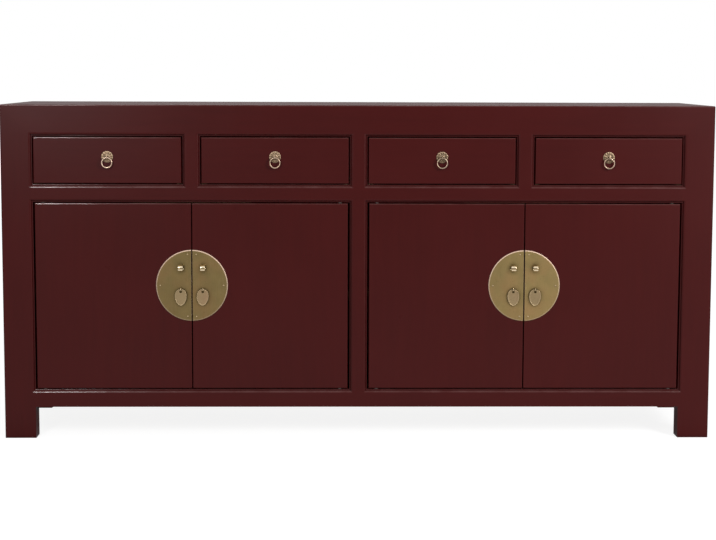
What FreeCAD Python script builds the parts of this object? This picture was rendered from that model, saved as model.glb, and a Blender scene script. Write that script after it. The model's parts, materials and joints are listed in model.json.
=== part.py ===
import FreeCAD, Part

import os
from math import cos, radians, sin, sqrt

Vector = FreeCAD.Vector

# All lengths are in millimetres. While the pieces are made, x runs to the right from the
# middle of the cabinet, depth runs backwards from the front face of the frame, and z runs
# up from the floor. A box is given by its span in x, its span in depth and its span in z.

# Case
case_width = 1800
case_depth = 400
case_height = 850
foot_height = 80.5
outer_face = 79
outer_depth = 42
inner_face = 45
inner_depth = 32
back_post_side = 55
back_rail_depth = 34
drawer_opening_height = 121.5
edge_round = 3

# Moulded edge round each opening
ovolo_radius = 6
ledge_width = 3
arris_round = 1.2

# Joints of the frame
tenon_thickness = 14
tenon_shoulder = 12
tenon_reach = 35
stub_reach = 12
stile_reach = 18
mitre_shoulder = 14
mitre_tenon_height = 20
mitre_reach = 30
glue_gap = 0.1
fit_gap = 0.3
overrun = 5
same_place = 0.001

# Boards that fill the frame
tongue_reach = 8
top_thickness = 14
top_tongue_lift = 2
top_tongue_thickness = 6
batten_width = 45
batten_height = 25
side_panel_thickness = 12
side_panel_recess = 6
back_panel_thickness = 6
back_panel_inset = 2
back_rebate_width = 12
back_panel_lap = 35
floor_thickness = 15
floor_drop = 3
floor_tongue_thickness = 7
partition_thickness = 18
shelf_thickness = 16
shelf_setback = 70
cleat_side = 15

# Drawers and what they run on
face_recess = 2
drawer_gap = 2.5
drawer_front_thickness = 20
drawer_edge_round = 2.5
drawer_side_gap = 3
drawer_side_thickness = 12
drawer_head_room = 4
drawer_back_gap = 2
drawer_lap = 8
drawer_bottom_lift = 8
drawer_bottom_thickness = 6
drawer_groove_depth = 6
runner_thickness = 18
runner_ledge = 15
guide_height = 20
guide_gap = 1.5
kicker_thickness = 18

# Doors, their pivots and their stops
hinge_gap = 4.25
split_gap = 2.5
door_end_gap = 2.5
door_thickness = 20
door_edge_round = 2.5
door_meeting_round = 1.2
door_batten_width = 45
door_batten_thickness = 10
door_batten_inset = 36
door_batten_share = 0.18
pivot_inset = 20
pivot_radius = 4
pivot_rail_reach = 14
pivot_door_reach = 12.5
pivot_bore_depth = 13
pivot_running_gap = 0.05
collar_radius = 6
collar_thickness = 2.2
stop_length = 300
stop_height = 12

# Round plate that the two doors of a pair share, and its nails
plate_radius = 91
plate_thickness = 2.2
plate_edge_round = 1.2
plate_inset = 0.3
plate_rise = 28
nail_circle = 80
nail_angles = (-82, 0, 82)
nail_head_radius = 2.2
nail_head_height = 1.1
nail_shank_radius = 0.8
nail_length = 12

# Lock eye, which takes the bar of a padlock
hardware_offset = 28
lock_eye_rise = 45
lock_eye_width = 12
lock_eye_hole = 5
lock_eye_wall = 2.8
lock_eye_neck = 1
lock_eye_round = 0.8
lock_shank_width = 6
lock_shank_height = 4
lock_tail_reach = 16
lock_tail_thickness = 1.6
pin_slack = 0.15

# Drop pull and the split pin that it hangs from
pull_drop = 9.5
pull_width = 30
pull_length = 42
pull_thickness = 2.4
pull_edge_round = 0.7
pull_head = 0.6
pull_bridge = 2.5
pull_hole_radius = 3.6
pull_eye_radius = 2.4
pull_wire_radius = 0.9
pull_tail_reach = 10
eye_clearance = 0.2

# Rosette, ring and the split pin that the ring hangs from
rosette_rise = 8.75
rosette_radius = 15
rosette_height = 3.2
rosette_rim_height = 1.4
rosette_rim_width = 2.4
ring_pin_drop = 1
ring_eye_radius = 2.6
ring_pin_wire_radius = 1.1
ring_radius = 12.6
ring_wire_radius = 1.7
ring_hang = 0.65
ring_tail_reach = 10

# Half outline of the drop pull, as shares of half its width and of its length from the top
pull_half_shares = ((0.65, 0.075), (0.955, 0.26), (1.0, 0.44), (0.87, 0.69), (0.50, 0.91))
quarter_arc_share = sqrt(1 / 2)

# Places that follow from the sizes
half_width = case_width / 2
opening_x = half_width - outer_face
drawer_top_z = case_height - outer_face
drawer_low_z = drawer_top_z - drawer_opening_height
door_top_z = drawer_low_z - inner_face
door_low_z = foot_height + inner_face
half_stile = inner_face / 2
drawer_opening_width = (opening_x - half_stile - inner_face) / 2
stile_x = inner_face + drawer_opening_width
split_x = (opening_x + half_stile) / 2
back_face = case_depth - back_post_side
back_post_x = half_width - back_post_side
back_panel_back = case_depth - back_panel_inset
back_panel_front = back_panel_back - back_panel_thickness
back_rail_front = back_panel_front - back_rail_depth
side_panel_outer_x = half_width - side_panel_recess
side_panel_inner_x = side_panel_outer_x - side_panel_thickness
side_top_inner_x = half_width - outer_depth
side_low_inner_x = half_width - inner_depth
floor_top_z = door_low_z - floor_drop
runner_low_z = drawer_low_z - runner_thickness
partition_x = partition_thickness / 2
door_middle_z = (door_low_z + door_top_z) / 2
plate_z = door_middle_z + plate_rise
shelf_low_z = door_middle_z - shelf_thickness / 2
shelf_top_z = shelf_low_z + shelf_thickness
ledge_half = half_stile + runner_ledge
guide_half = half_stile + drawer_side_gap - guide_gap
door_back = face_recess + door_thickness
pivot_depth = face_recess + door_thickness / 2
plate_front = face_recess - plate_thickness
lock_eye_radius = lock_eye_hole + lock_eye_wall
lock_eye_depth = plate_front - lock_eye_neck - lock_eye_radius
pull_ring_radius = pull_eye_radius + pull_wire_radius
pull_depth = plate_front - eye_clearance - pull_ring_radius - pull_wire_radius
ring_eye_mean = ring_eye_radius + ring_pin_wire_radius
ring_depth = face_recess - rosette_height - eye_clearance - ring_eye_mean - ring_pin_wire_radius
rosette_z = (drawer_low_z + drawer_top_z) / 2 + rosette_rise
ring_pin_z = rosette_z - ring_pin_drop
lock_eye_z = plate_z + lock_eye_rise
pull_z = plate_z - pull_drop
hardware_reach = lock_eye_radius - lock_eye_depth

# The finished cabinet stands with its middle over the origin, fittings included
front_y = (hardware_reach - case_depth) / 2


def box(xs, ds, zs):
    """Box over three spans, whichever end of a span comes first."""
    low = Vector(min(xs), min(ds), min(zs))
    return Part.makeBox(max(xs) - low.x, max(ds) - low.y, max(zs) - low.z, low)


def sided(spans, side):
    """Spans on the right of the middle, or mirrored to the left when side is -1."""
    xs, ds, zs = spans
    return ((side * xs[0], side * xs[1]), ds, zs)


def grown(spans, gap=glue_gap):
    """Spans with a gap added all round, for the hollow that takes a piece."""
    return tuple((min(span) - gap, max(span) + gap) for span in spans)


def boxes(all_spans):
    """One box for each set of spans."""
    return [box(*spans) for spans in all_spans]


def hollows(all_spans):
    """One box for each set of spans, grown by the glue gap."""
    return [box(*grown(spans)) for spans in all_spans]


def rod(start, along, radius):
    """Round bar from a point, as long as the vector along it."""
    return Part.makeCylinder(radius, along.Length, start, along)


def joined(first, others):
    """First shape with others fused to it, as one solid with no seams in its faces."""
    return first.fuse(others).removeSplitter()


def upright_prism(points, ds):
    """Prism with its outline in the plane of the front, through a span of depth."""
    corners = [Vector(x, ds[0], z) for x, z in points]
    outline = Part.makePolygon(corners + corners[:1])
    return Part.Face(outline).extrude(Vector(0, ds[1] - ds[0], 0))


def edges_in_plane(shape, depth):
    """Edges of a shape that lie at one depth."""
    return [edge for edge in shape.Edges
            if all(abs(vertex.Point.y - depth) < same_place for vertex in edge.Vertexes)]


def line(start, end):
    """Straight edge between two points."""
    return Part.LineSegment(start, end).toShape()


def arc(start, middle, end):
    """Round edge through three points."""
    return Part.Arc(start, middle, end).toShape()


def moulded_side(edge, inward, place):
    """Edges of the moulding on one side of an opening, and its first and last points."""
    width = ovolo_radius + ledge_width
    flat = 1 - quarter_arc_share
    start = place(edge - inward * width, -overrun)
    face = place(edge - inward * width, 0)
    round_middle = place(edge - inward * (width - ovolo_radius * quarter_arc_share),
                         ovolo_radius * flat)
    ledge_start = place(edge - inward * ledge_width, ovolo_radius)
    ledge_end = place(edge - inward * arris_round, ovolo_radius)
    arris_middle = place(edge - inward * arris_round * flat, ovolo_radius + arris_round * flat)
    wall = place(edge, ovolo_radius + arris_round)
    edges = [line(start, face), arc(face, round_middle, ledge_start),
             line(ledge_start, ledge_end), arc(ledge_end, arris_middle, wall)]
    return edges, start, wall


def opening_section(span, place):
    """Section of an opening: wide at the front and stepped in over its moulded edge."""
    low_edges, low_start, low_wall = moulded_side(span[0], 1, place)
    high_edges, high_start, high_wall = moulded_side(span[1], -1, place)
    across = [line(low_wall, high_wall), line(high_start, low_start)]
    return Part.Face(Part.Wire(Part.__sortEdges__(low_edges + high_edges + across)))


def opening_cutter(xs, zs):
    """What the moulding takes from the frame round one opening, mitred at the corners."""
    reach = ovolo_radius + ledge_width + overrun
    upright = opening_section(xs, lambda across, depth: Vector(across, depth, zs[0] - reach))
    level = opening_section(zs, lambda across, depth: Vector(xs[0] - reach, depth, across))
    tall = upright.extrude(Vector(0, 0, zs[1] - zs[0] + 2 * reach))
    wide = level.extrude(Vector(xs[1] - xs[0] + 2 * reach, 0, 0))
    return tall.common(wide)


def drawer_spans():
    """Span in x of each drawer opening, from left to right."""
    inner = (half_stile, half_stile + drawer_opening_width)
    outer = (opening_x - drawer_opening_width, opening_x)
    return [(-outer[1], -outer[0]), (-inner[1], -inner[0]), inner, outer]


def opening_cutters():
    """Moulding cutters of the four drawer openings and the two door openings."""
    drawers = [opening_cutter(xs, (drawer_low_z, drawer_top_z)) for xs in drawer_spans()]
    doors = [opening_cutter(xs, (door_low_z, door_top_z))
             for xs in ((-opening_x, -half_stile), (half_stile, opening_x))]
    return drawers + doors


def case_envelope():
    """Block with rounded edges that the outside of the frame is trimmed to."""
    block = box((-half_width, half_width), (0, case_depth), (0, case_height))
    rounded = [edge for edge in block.Edges if edge.BoundBox.ZMax > same_place]
    return block.makeFillet(edge_round, rounded)


def trimmed(shape, cutters):
    """A member of the frame with its outer edges rounded and its hollows cut."""
    return shape.common(case_envelope()).cut(cutters)


# Spans of the tenons and tongues, each used by the piece that has it and the one that takes it

def centred(span, size):
    """Span of a given size in the middle of another span."""
    middle = (span[0] + span[1]) / 2
    return (middle - size / 2, middle + size / 2)


def shouldered(span):
    """Height of a tenon between its two shoulders."""
    return (span[0] + tenon_shoulder, span[1] - tenon_shoulder)


def rail_tenon(zs):
    """Right tenon of the middle or bottom front rail."""
    ds = centred((0, inner_depth), tenon_thickness)
    return ((opening_x, opening_x + tenon_reach), ds, shouldered(zs))


def mitre_tenon():
    """Right tenon of the top front rail, across the mitre and into the post."""
    start_z = drawer_top_z + mitre_shoulder
    end_x = opening_x + mitre_shoulder + mitre_tenon_height + mitre_reach
    ds = centred((0, outer_depth), tenon_thickness)
    return ((opening_x, end_x), ds, (start_z, start_z + mitre_tenon_height))


def side_rail_spans():
    """Right top and bottom side rails, without their tenons."""
    ds = (outer_depth, back_face)
    return [((side_top_inner_x, half_width), ds, (drawer_top_z, case_height)),
            ((side_low_inner_x, half_width), ds, (foot_height, door_low_z))]


def side_rail_tenon(spans):
    """Tenon that runs right through a side rail and into both of its posts."""
    xs, ds, zs = spans
    height = inner_face - 2 * tenon_shoulder
    low_z = zs[0] + tenon_shoulder
    return (centred(xs, tenon_thickness), (ds[0] - stub_reach, ds[1] + stub_reach),
            (low_z, low_z + height))


def back_rail_spans():
    """Top, middle and bottom rails of the back, without their tenons."""
    xs = (-back_post_x, back_post_x)
    return [(xs, (back_rail_front, case_depth), (drawer_top_z, case_height)),
            (xs, (back_rail_front, back_panel_front), (door_top_z, drawer_low_z)),
            (xs, (back_rail_front, back_panel_front), (foot_height, door_low_z))]


def back_rail_tenon(spans):
    """Tenon that runs right through a back rail and into both back posts."""
    xs, ds, zs = spans
    return ((xs[0] - stile_reach, xs[1] + stile_reach), centred(ds, tenon_thickness),
            shouldered(zs))


def back_post_span():
    """Right back post."""
    return ((back_post_x, half_width), (back_face, case_depth), (0, case_height))


def side_panel_span():
    """Right side panel, with the tongues that its four neighbours take."""
    return ((side_panel_inner_x, side_panel_outer_x),
            (outer_depth - tongue_reach, back_face + tongue_reach),
            (door_low_z - tongue_reach, drawer_top_z + tongue_reach))


def top_tongue_span():
    """Tongue round the top panel."""
    low_z = case_height - top_thickness + top_tongue_lift
    return ((-side_top_inner_x - tongue_reach, side_top_inner_x + tongue_reach),
            (outer_depth - tongue_reach, back_rail_front + tongue_reach),
            (low_z, low_z + top_tongue_thickness))


def floor_tongue_span():
    """Tongue round the floor board."""
    low_z = floor_top_z - floor_thickness
    return ((-side_low_inner_x - tongue_reach, side_low_inner_x + tongue_reach),
            (inner_depth - tongue_reach, back_rail_front + tongue_reach),
            (low_z, low_z + floor_tongue_thickness))


def back_rebate_span():
    """Step in the back posts and the top back rail that the back panels lie in."""
    return ((-back_post_x - back_rebate_width, back_post_x + back_rebate_width),
            (back_panel_front, case_depth + overrun),
            (door_low_z - back_panel_lap, drawer_top_z + back_rebate_width))


def stile_spans():
    """Front stiles without their tenons: three between the drawers, one between the doors."""
    upper = [((x - half_stile, x + half_stile), (0, inner_depth), (drawer_low_z, drawer_top_z))
             for x in (-stile_x, 0, stile_x)]
    lower = ((-half_stile, half_stile), (0, inner_depth), (door_low_z, door_top_z))
    return upper + [lower]


def stile_tenon(spans):
    """Tenon that runs right through a stile and into the rails above and below it."""
    xs, ds, zs = spans
    return (centred(xs, inner_face - 2 * tenon_shoulder), centred(ds, tenon_thickness),
            (zs[0] - stile_reach, zs[1] + stile_reach))


# Frame

def front_post(side):
    """Front post, mitred at its head and moulded along the openings."""
    outline = [(side * half_width, 0), (side * half_width, case_height),
               (side * opening_x, drawer_top_z), (side * opening_x, 0)]
    tenons = [mitre_tenon(), rail_tenon((door_top_z, drawer_low_z)),
              rail_tenon((foot_height, door_low_z)), side_panel_span()]
    tenons += [side_rail_tenon(spans) for spans in side_rail_spans()]
    mortises = hollows(sided(spans, side) for spans in tenons)
    return trimmed(upright_prism(outline, (0, outer_depth)), mortises + opening_cutters())


def back_post(side):
    """Back post, stepped for the back panels."""
    tenons = [sided(side_rail_tenon(spans), side) for spans in side_rail_spans()]
    tenons += [back_rail_tenon(spans) for spans in back_rail_spans()]
    tenons += [sided(side_panel_span(), side), back_rebate_span()]
    return trimmed(box(*sided(back_post_span(), side)), hollows(tenons))


def top_front_rail():
    """Top rail of the front, with mitred ends and a tenon at each."""
    outline = [(-half_width, case_height), (half_width, case_height),
               (opening_x, drawer_top_z), (-opening_x, drawer_top_z)]
    rail = upright_prism(outline, (0, outer_depth))
    rail = joined(rail, boxes(sided(mitre_tenon(), side) for side in (-1, 1)))
    mortises = hollows([stile_tenon(spans) for spans in stile_spans()] + [top_tongue_span()])
    return trimmed(rail, mortises + opening_cutters())


def front_rail(zs, others):
    """Middle or bottom rail of the front, with mortises and grooves for others."""
    rail = box((-opening_x, opening_x), (0, inner_depth), zs)
    rail = joined(rail, boxes(sided(rail_tenon(zs), side) for side in (-1, 1)))
    mortises = hollows([stile_tenon(spans) for spans in stile_spans()] + others)
    return rail.cut(mortises + opening_cutters() + pivot_sockets())


def front_stiles():
    """Stiles of the front, each moulded on both sides."""
    cutters = opening_cutters()
    return [joined(box(*spans), boxes([stile_tenon(spans)])).cut(cutters)
            for spans in stile_spans()]


def side_rails():
    """Top and bottom rails of both sides."""
    rails = []
    for side in (-1, 1):
        for spans in side_rail_spans():
            rail = joined(box(*sided(spans, side)), boxes([sided(side_rail_tenon(spans), side)]))
            grooves = [sided(side_panel_span(), side), top_tongue_span(), floor_tongue_span()]
            rails.append(trimmed(rail, hollows(grooves)))
    return rails


def back_frame():
    """Rails of the back and the stiles between them."""
    stiles = []
    for zs in ((drawer_low_z, drawer_top_z), (door_low_z, door_top_z)):
        stiles.append(((-half_stile, half_stile), (back_rail_front, back_panel_front), zs))
    grooves = [stile_tenon(spans) for spans in stiles]
    grooves += [top_tongue_span(), floor_tongue_span()]
    pieces = [joined(box(*spans), boxes([stile_tenon(spans)])) for spans in stiles]
    for spans in back_rail_spans():
        rail = joined(box(*spans), boxes([back_rail_tenon(spans)]))
        pieces.append(trimmed(rail, hollows(grooves + [back_rebate_span()])))
    return pieces


# Boards

def top_panel():
    """Top board, level with the frame round it and tongued into it."""
    board = box((-side_top_inner_x, side_top_inner_x), (outer_depth, back_rail_front),
                (case_height - top_thickness, case_height))
    corners = hollows(sided(back_post_span(), side) for side in (-1, 1))
    return joined(board, boxes([top_tongue_span()])).cut(corners)


def floor_board():
    """Floor of the lower compartments, tongued into the bottom rails."""
    board = box((-side_low_inner_x, side_low_inner_x), (inner_depth, back_rail_front),
                (floor_top_z - floor_thickness, floor_top_z))
    front_corner = ((opening_x, half_width), (0, outer_depth), (0, case_height))
    corners = [sided(spans, side) for spans in (front_corner, back_post_span())
               for side in (-1, 1)]
    return joined(board, boxes([floor_tongue_span()])).cut(hollows(corners))


def back_panels():
    """Two sheets that close the back and meet behind its stiles."""
    xs, _, zs = back_rebate_span()
    return [box((side * fit_gap / 2, side * xs[1]), (back_panel_front, back_panel_back), zs)
            for side in (-1, 1)]


def centre_partition():
    """Upright board between the two lower compartments."""
    return box((-partition_x, partition_x), (inner_depth, back_rail_front),
               (floor_top_z, runner_low_z))


def shelves():
    """One loose shelf in each compartment, notched round its back post."""
    span = ((partition_x + fit_gap, side_panel_inner_x - fit_gap),
            (shelf_setback, back_rail_front - fit_gap), (shelf_low_z, shelf_top_z))
    return [box(*sided(span, side)).cut(box(*grown(sided(back_post_span(), side), fit_gap)))
            for side in (-1, 1)]


def inner_battens():
    """Battens under the top, cleats under the shelves and stops behind the doors."""
    top_low_z = case_height - top_thickness
    spans = [((x - batten_width / 2, x + batten_width / 2), (outer_depth, back_rail_front),
              (top_low_z - batten_height, top_low_z)) for x in (-stile_x, 0, stile_x)]
    cleat_zs = (shelf_low_z - cleat_side, shelf_low_z)
    inner_cleat = ((partition_x, partition_x + cleat_side), (shelf_setback, back_rail_front),
                   cleat_zs)
    outer_cleat = ((side_panel_inner_x - cleat_side, side_panel_inner_x),
                   (shelf_setback, back_face), cleat_zs)
    stop = ((split_x - stop_length / 2, split_x + stop_length / 2),
            (door_back + fit_gap, inner_depth), (door_top_z - stop_height, door_top_z))
    for side in (-1, 1):
        spans += [sided(piece, side) for piece in (inner_cleat, outer_cleat, stop)]
    return boxes(spans)


def drawer_runners():
    """Runners that carry the drawers, guides beside them and kickers above them."""
    base_zs = (runner_low_z, drawer_low_z)
    guide_zs = (drawer_low_z, drawer_low_z + guide_height)
    kicker_zs = (drawer_top_z, drawer_top_z + kicker_thickness)
    spans = []
    for x in (-stile_x, 0, stile_x):
        spans += [((x - ledge_half, x + ledge_half), (inner_depth, back_rail_front), base_zs),
                  ((x - guide_half, x + guide_half), (inner_depth, back_rail_front), guide_zs),
                  ((x - ledge_half, x + ledge_half), (outer_depth, back_rail_front), kicker_zs)]
    ledge_x = opening_x - runner_ledge
    guide_x = opening_x - drawer_side_gap + guide_gap
    ds = (outer_depth, back_face)
    for side in (-1, 1):
        ends = [((ledge_x, side_panel_inner_x), ds, base_zs),
                ((guide_x, side_panel_inner_x), ds, guide_zs),
                ((ledge_x, side_top_inner_x), ds, kicker_zs)]
        spans += [sided(piece, side) for piece in ends]
    return boxes(spans)


# Doors: each is given by the edge of its opening and the way from there to the meeting edge

doors = {1: (-opening_x, 1), 2: (-half_stile, -1), 3: (half_stile, 1), 4: (opening_x, -1)}


def door_split(door):
    """Place of the joint between this door and its partner."""
    edge, _ = doors[door]
    return split_x if edge > 0 else -split_x


def pivot_x(door):
    """Place of a door's pivots."""
    edge, way = doors[door]
    return edge + way * (hinge_gap + pivot_inset)


def fitting_x(door):
    """Place of a door's lock eye and pull."""
    _, way = doors[door]
    return door_split(door) - way * hardware_offset


def pivot_pins():
    """A pin with a collar above and below each door."""
    pins = []
    for door in doors:
        for z, up in ((door_low_z, 1), (door_top_z, -1)):
            start = Vector(pivot_x(door), pivot_depth, z - up * pivot_rail_reach)
            length = pivot_rail_reach + door_end_gap + pivot_door_reach
            pin = rod(start, Vector(0, 0, up * length), pivot_radius)
            seat = Vector(pivot_x(door), pivot_depth, z)
            collar = rod(seat, Vector(0, 0, up * collar_thickness), collar_radius)
            pins.append(joined(pin, [collar]))
    return pins


def pivot_sockets():
    """Holes in the rails that the pivot pins are fixed in."""
    reach = pivot_rail_reach + glue_gap
    radius = pivot_radius + glue_gap
    return [rod(Vector(pivot_x(door), pivot_depth, z - up * reach),
                Vector(0, 0, up * (reach + overrun)), radius)
            for door in doors for z, up in ((door_low_z, 1), (door_top_z, -1))]


def door_zs():
    """Span in z of every door."""
    return (door_low_z + door_end_gap, door_top_z - door_end_gap)


def front_edges(board, meeting_x, meeting):
    """Front edge where a door meets its partner, or the other three."""
    return [side for side in edges_in_plane(board, face_recess)
            if (abs(side.CenterOfMass.x - meeting_x) < same_place) == meeting]


def door_leaf(door):
    """A door's board, with its pivot bores and holes, and the battens on its back."""
    edge, way = doors[door]
    zs = door_zs()
    hinge_x = edge + way * hinge_gap
    meeting_x = door_split(door) - way * split_gap / 2
    board = box((hinge_x, meeting_x), (face_recess, door_back), zs)
    board = board.makeFillet(door_edge_round, front_edges(board, meeting_x, False))
    board = board.makeFillet(door_meeting_round, front_edges(board, meeting_x, True))
    radius = pivot_radius + pivot_running_gap
    bores = [rod(Vector(pivot_x(door), pivot_depth, z + up * pivot_bore_depth),
                 Vector(0, 0, -up * (pivot_bore_depth + overrun)), radius)
             for z, up in ((zs[0], 1), (zs[1], -1))]
    holes = nail_holes(door) + pin_holes(door)
    height = zs[1] - zs[0]
    battens = []
    for middle in (zs[0] + door_batten_share * height, zs[1] - door_batten_share * height):
        xs = (hinge_x + way * door_batten_inset, meeting_x - way * door_batten_inset)
        battens.append(box(xs, (door_back, door_back + door_batten_thickness),
                           (middle - door_batten_width / 2, middle + door_batten_width / 2)))
    return [board.cut(bores + holes)] + battens


def face_plate(door):
    """Half of the round plate, with holes for its nails and pins."""
    _, way = doors[door]
    split = door_split(door)
    start = Vector(split, face_recess, plate_z)
    disc = rod(start, Vector(0, -plate_thickness, 0), plate_radius)
    rim = [edge for edge in edges_in_plane(disc, plate_front) if edge.Length > plate_radius]
    disc = disc.makeFillet(plate_edge_round, rim)
    straight = split - way * (split_gap / 2 + plate_inset)
    keep = box((straight, straight - way * plate_radius),
               (plate_front - overrun, face_recess + overrun),
               (plate_z - plate_radius, plate_z + plate_radius))
    return disc.common(keep).cut(nail_holes(door) + pin_holes(door))


def nail_places(door):
    """Places of the nails of one half plate."""
    _, way = doors[door]
    return [(door_split(door) - way * nail_circle * cos(radians(angle)),
             plate_z + nail_circle * sin(radians(angle))) for angle in nail_angles]


def nail_holes(door):
    """Holes for the nails of one half plate."""
    return [rod(Vector(x, plate_front - overrun, z), Vector(0, overrun + nail_length, 0),
                nail_shank_radius + glue_gap) for x, z in nail_places(door)]


def plate_nails(door):
    """Dome-headed nails of one half plate."""
    nails = []
    for x, z in nail_places(door):
        start = Vector(x, plate_front, z)
        across = nail_head_radius * quarter_arc_share
        high = nail_head_height * quarter_arc_share
        rim = start + Vector(nail_head_radius, 0, 0)
        crown = start - Vector(0, nail_head_height, 0)
        profile = [line(start, rim), arc(rim, start + Vector(across, -high, 0), crown),
                   line(crown, start)]
        head = Part.Face(Part.Wire(profile)).revolve(start, Vector(0, 1, 0), 360)
        shank = rod(crown, Vector(0, nail_head_height + nail_length - glue_gap, 0),
                    nail_shank_radius)
        nails.append(joined(head, [shank]))
    return nails


def lock_shank_spans(door):
    """Shank of the lock eye, from its ring to the back of the door."""
    x = fitting_x(door)
    return ((x - lock_shank_width / 2, x + lock_shank_width / 2),
            (lock_eye_depth + lock_eye_hole + lock_eye_wall / 2, door_back),
            (lock_eye_z - lock_shank_height / 2, lock_eye_z + lock_shank_height / 2))


def pull_shank():
    """Radius of the shank of the pull's split pin."""
    return 2 * pull_wire_radius * quarter_arc_share


def pin_holes(door):
    """Holes through a door and its plate for the lock eye and the pull's split pin."""
    xs, _, zs = lock_shank_spans(door)
    through = (plate_front - overrun, door_back + overrun)
    square = box(*grown((xs, through, zs), pin_slack))
    start = Vector(fitting_x(door), through[0], pull_z)
    round_hole = rod(start, Vector(0, through[1] - through[0], 0), pull_shank() + pin_slack)
    return [square, round_hole]


def lock_eye(door):
    """Broad ring that a padlock's bar goes through, with turned tails behind the door."""
    x = fitting_x(door)
    start = Vector(x - lock_eye_width / 2, lock_eye_depth, lock_eye_z)
    along = Vector(lock_eye_width, 0, 0)
    band = rod(start, along, lock_eye_radius)
    rims = [edge for edge in band.Edges if edge.BoundBox.XLength < same_place]
    band = band.makeFillet(lock_eye_round, rims)
    tails = box((x - lock_shank_width / 2, x + lock_shank_width / 2),
                (door_back, door_back + lock_tail_thickness),
                (lock_eye_z - lock_tail_reach, lock_eye_z + lock_tail_reach))
    whole = joined(band, [box(*lock_shank_spans(door)), tails])
    return whole.cut(rod(start - along, 3 * along, lock_eye_hole))


def split_pin(centre, ring_mean, wire, shank, board_back, tail_reach):
    """Pin of bent wire: an eye seen edge on, a shank through the board and turned tails."""
    eye = Part.makeTorus(ring_mean, wire, centre, Vector(1, 0, 0))
    start = centre + Vector(0, ring_mean, 0)
    through = rod(start, Vector(0, board_back + wire - start.y, 0), shank)
    low = Vector(centre.x, board_back + wire, centre.z - tail_reach)
    tails = rod(low, Vector(0, 0, 2 * tail_reach), wire)
    return joined(eye, [through, tails])


def pull_pin(door):
    """Split pin that a pull hangs from."""
    centre = Vector(fitting_x(door), pull_depth, pull_z)
    return split_pin(centre, pull_ring_radius, pull_wire_radius, pull_shank(), door_back,
                     pull_tail_reach)


def pull(door):
    """Egg-shaped drop pull, threaded on its pin by the hole at its head."""
    x = fitting_x(door)
    front = pull_depth - pull_thickness / 2
    top_z = pull_z + pull_head
    right = [(x + pull_width / 2 * across, top_z - pull_length * down)
             for across, down in pull_half_shares]
    left = [(2 * x - across, z) for across, z in reversed(right)]
    points = [(x, top_z)] + right + [(x, top_z - pull_length)] + left
    curve = Part.BSplineCurve()
    curve.interpolate([Vector(across, front, z) for across, z in points], PeriodicFlag=True)
    blank = Part.Face(Part.Wire(curve.toShape())).extrude(Vector(0, pull_thickness, 0))
    rims = edges_in_plane(blank, front) + edges_in_plane(blank, front + pull_thickness)
    blank = blank.makeFillet(pull_edge_round, rims)
    hole = Vector(x, front - overrun, top_z - pull_bridge - pull_hole_radius)
    return blank.cut(rod(hole, Vector(0, pull_thickness + 2 * overrun, 0), pull_hole_radius))


# Drawers

def drawer_box_spans(xs):
    """Two sides, back and bottom of the drawer behind an opening."""
    low_z = drawer_low_z + fit_gap
    high_z = drawer_top_z - drawer_head_room
    outer = (xs[0] + drawer_side_gap, xs[1] - drawer_side_gap)
    inner = (outer[0] + drawer_side_thickness, outer[1] - drawer_side_thickness)
    front_back = face_recess + drawer_front_thickness
    end = back_panel_front - drawer_back_gap
    side_ds = (front_back - drawer_lap, end)
    bottom_zs = (low_z + drawer_bottom_lift, low_z + drawer_bottom_lift + drawer_bottom_thickness)
    bottom = ((inner[0] - drawer_groove_depth, inner[1] + drawer_groove_depth),
              (front_back - drawer_groove_depth, end), bottom_zs)
    back = (inner, (end - drawer_side_thickness, end), (bottom_zs[1] + glue_gap, high_z))
    sides = [((outer[0], inner[0]), side_ds, (low_z, high_z)),
             ((inner[1], outer[1]), side_ds, (low_z, high_z))]
    return sides, back, bottom


def drawer_front(xs):
    """Front board of a drawer, with housings for its sides and a groove for its bottom."""
    zs = (drawer_low_z + drawer_gap, drawer_top_z - drawer_gap)
    front_back = face_recess + drawer_front_thickness
    board = box((xs[0] + drawer_gap, xs[1] - drawer_gap), (face_recess, front_back), zs)
    board = board.makeFillet(drawer_edge_round, edges_in_plane(board, face_recess))
    sides, _, bottom = drawer_box_spans(xs)
    hole = rod(Vector(sum(xs) / 2, face_recess - overrun, ring_pin_z),
               Vector(0, drawer_front_thickness + 2 * overrun, 0), ring_shank() + pin_slack)
    return board.cut(hollows(sides + [bottom]) + [hole])


def drawer_box(xs):
    """Sides, back and bottom of a drawer."""
    sides, back, bottom = drawer_box_spans(xs)
    grooved = [box(*spans).cut(box(*grown(bottom))) for spans in sides]
    return grooved + boxes([back, bottom])


def ring_shank():
    """Radius of the shank of a ring's split pin."""
    return 2 * ring_pin_wire_radius * quarter_arc_share


def rosette(xs):
    """Domed disc with a raised rim behind a drawer's ring."""
    centre = Vector(sum(xs) / 2, face_recess, rosette_z)
    rim = Vector(rosette_radius, 0, 0)
    rim_inner = Vector(rosette_radius - rosette_rim_width, 0, 0)
    up = Vector(0, -1, 0)
    bead_middle = (rim + rim_inner) / 2 + up * rosette_rim_height
    bead_inner = rim_inner + up * rosette_rim_height / 2
    crown = up * rosette_height
    dome_middle = (bead_inner + crown) / 2 + up * rosette_rim_height / 2
    outline = [line(centre, centre + rim),
               arc(centre + rim, centre + bead_middle, centre + bead_inner),
               arc(centre + bead_inner, centre + dome_middle, centre + crown),
               line(centre + crown, centre)]
    disc = Part.Face(Part.Wire(outline)).revolve(centre, Vector(0, 1, 0), 360)
    start = Vector(centre.x, face_recess - rosette_height - overrun, ring_pin_z)
    return disc.cut(rod(start, Vector(0, rosette_height + 2 * overrun, 0),
                        ring_shank() + pin_slack))


def ring_pin(xs):
    """Split pin that a drawer's ring hangs from."""
    centre = Vector(sum(xs) / 2, ring_depth, ring_pin_z)
    return split_pin(centre, ring_eye_mean, ring_pin_wire_radius, ring_shank(),
                     face_recess + drawer_front_thickness, ring_tail_reach)


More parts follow.
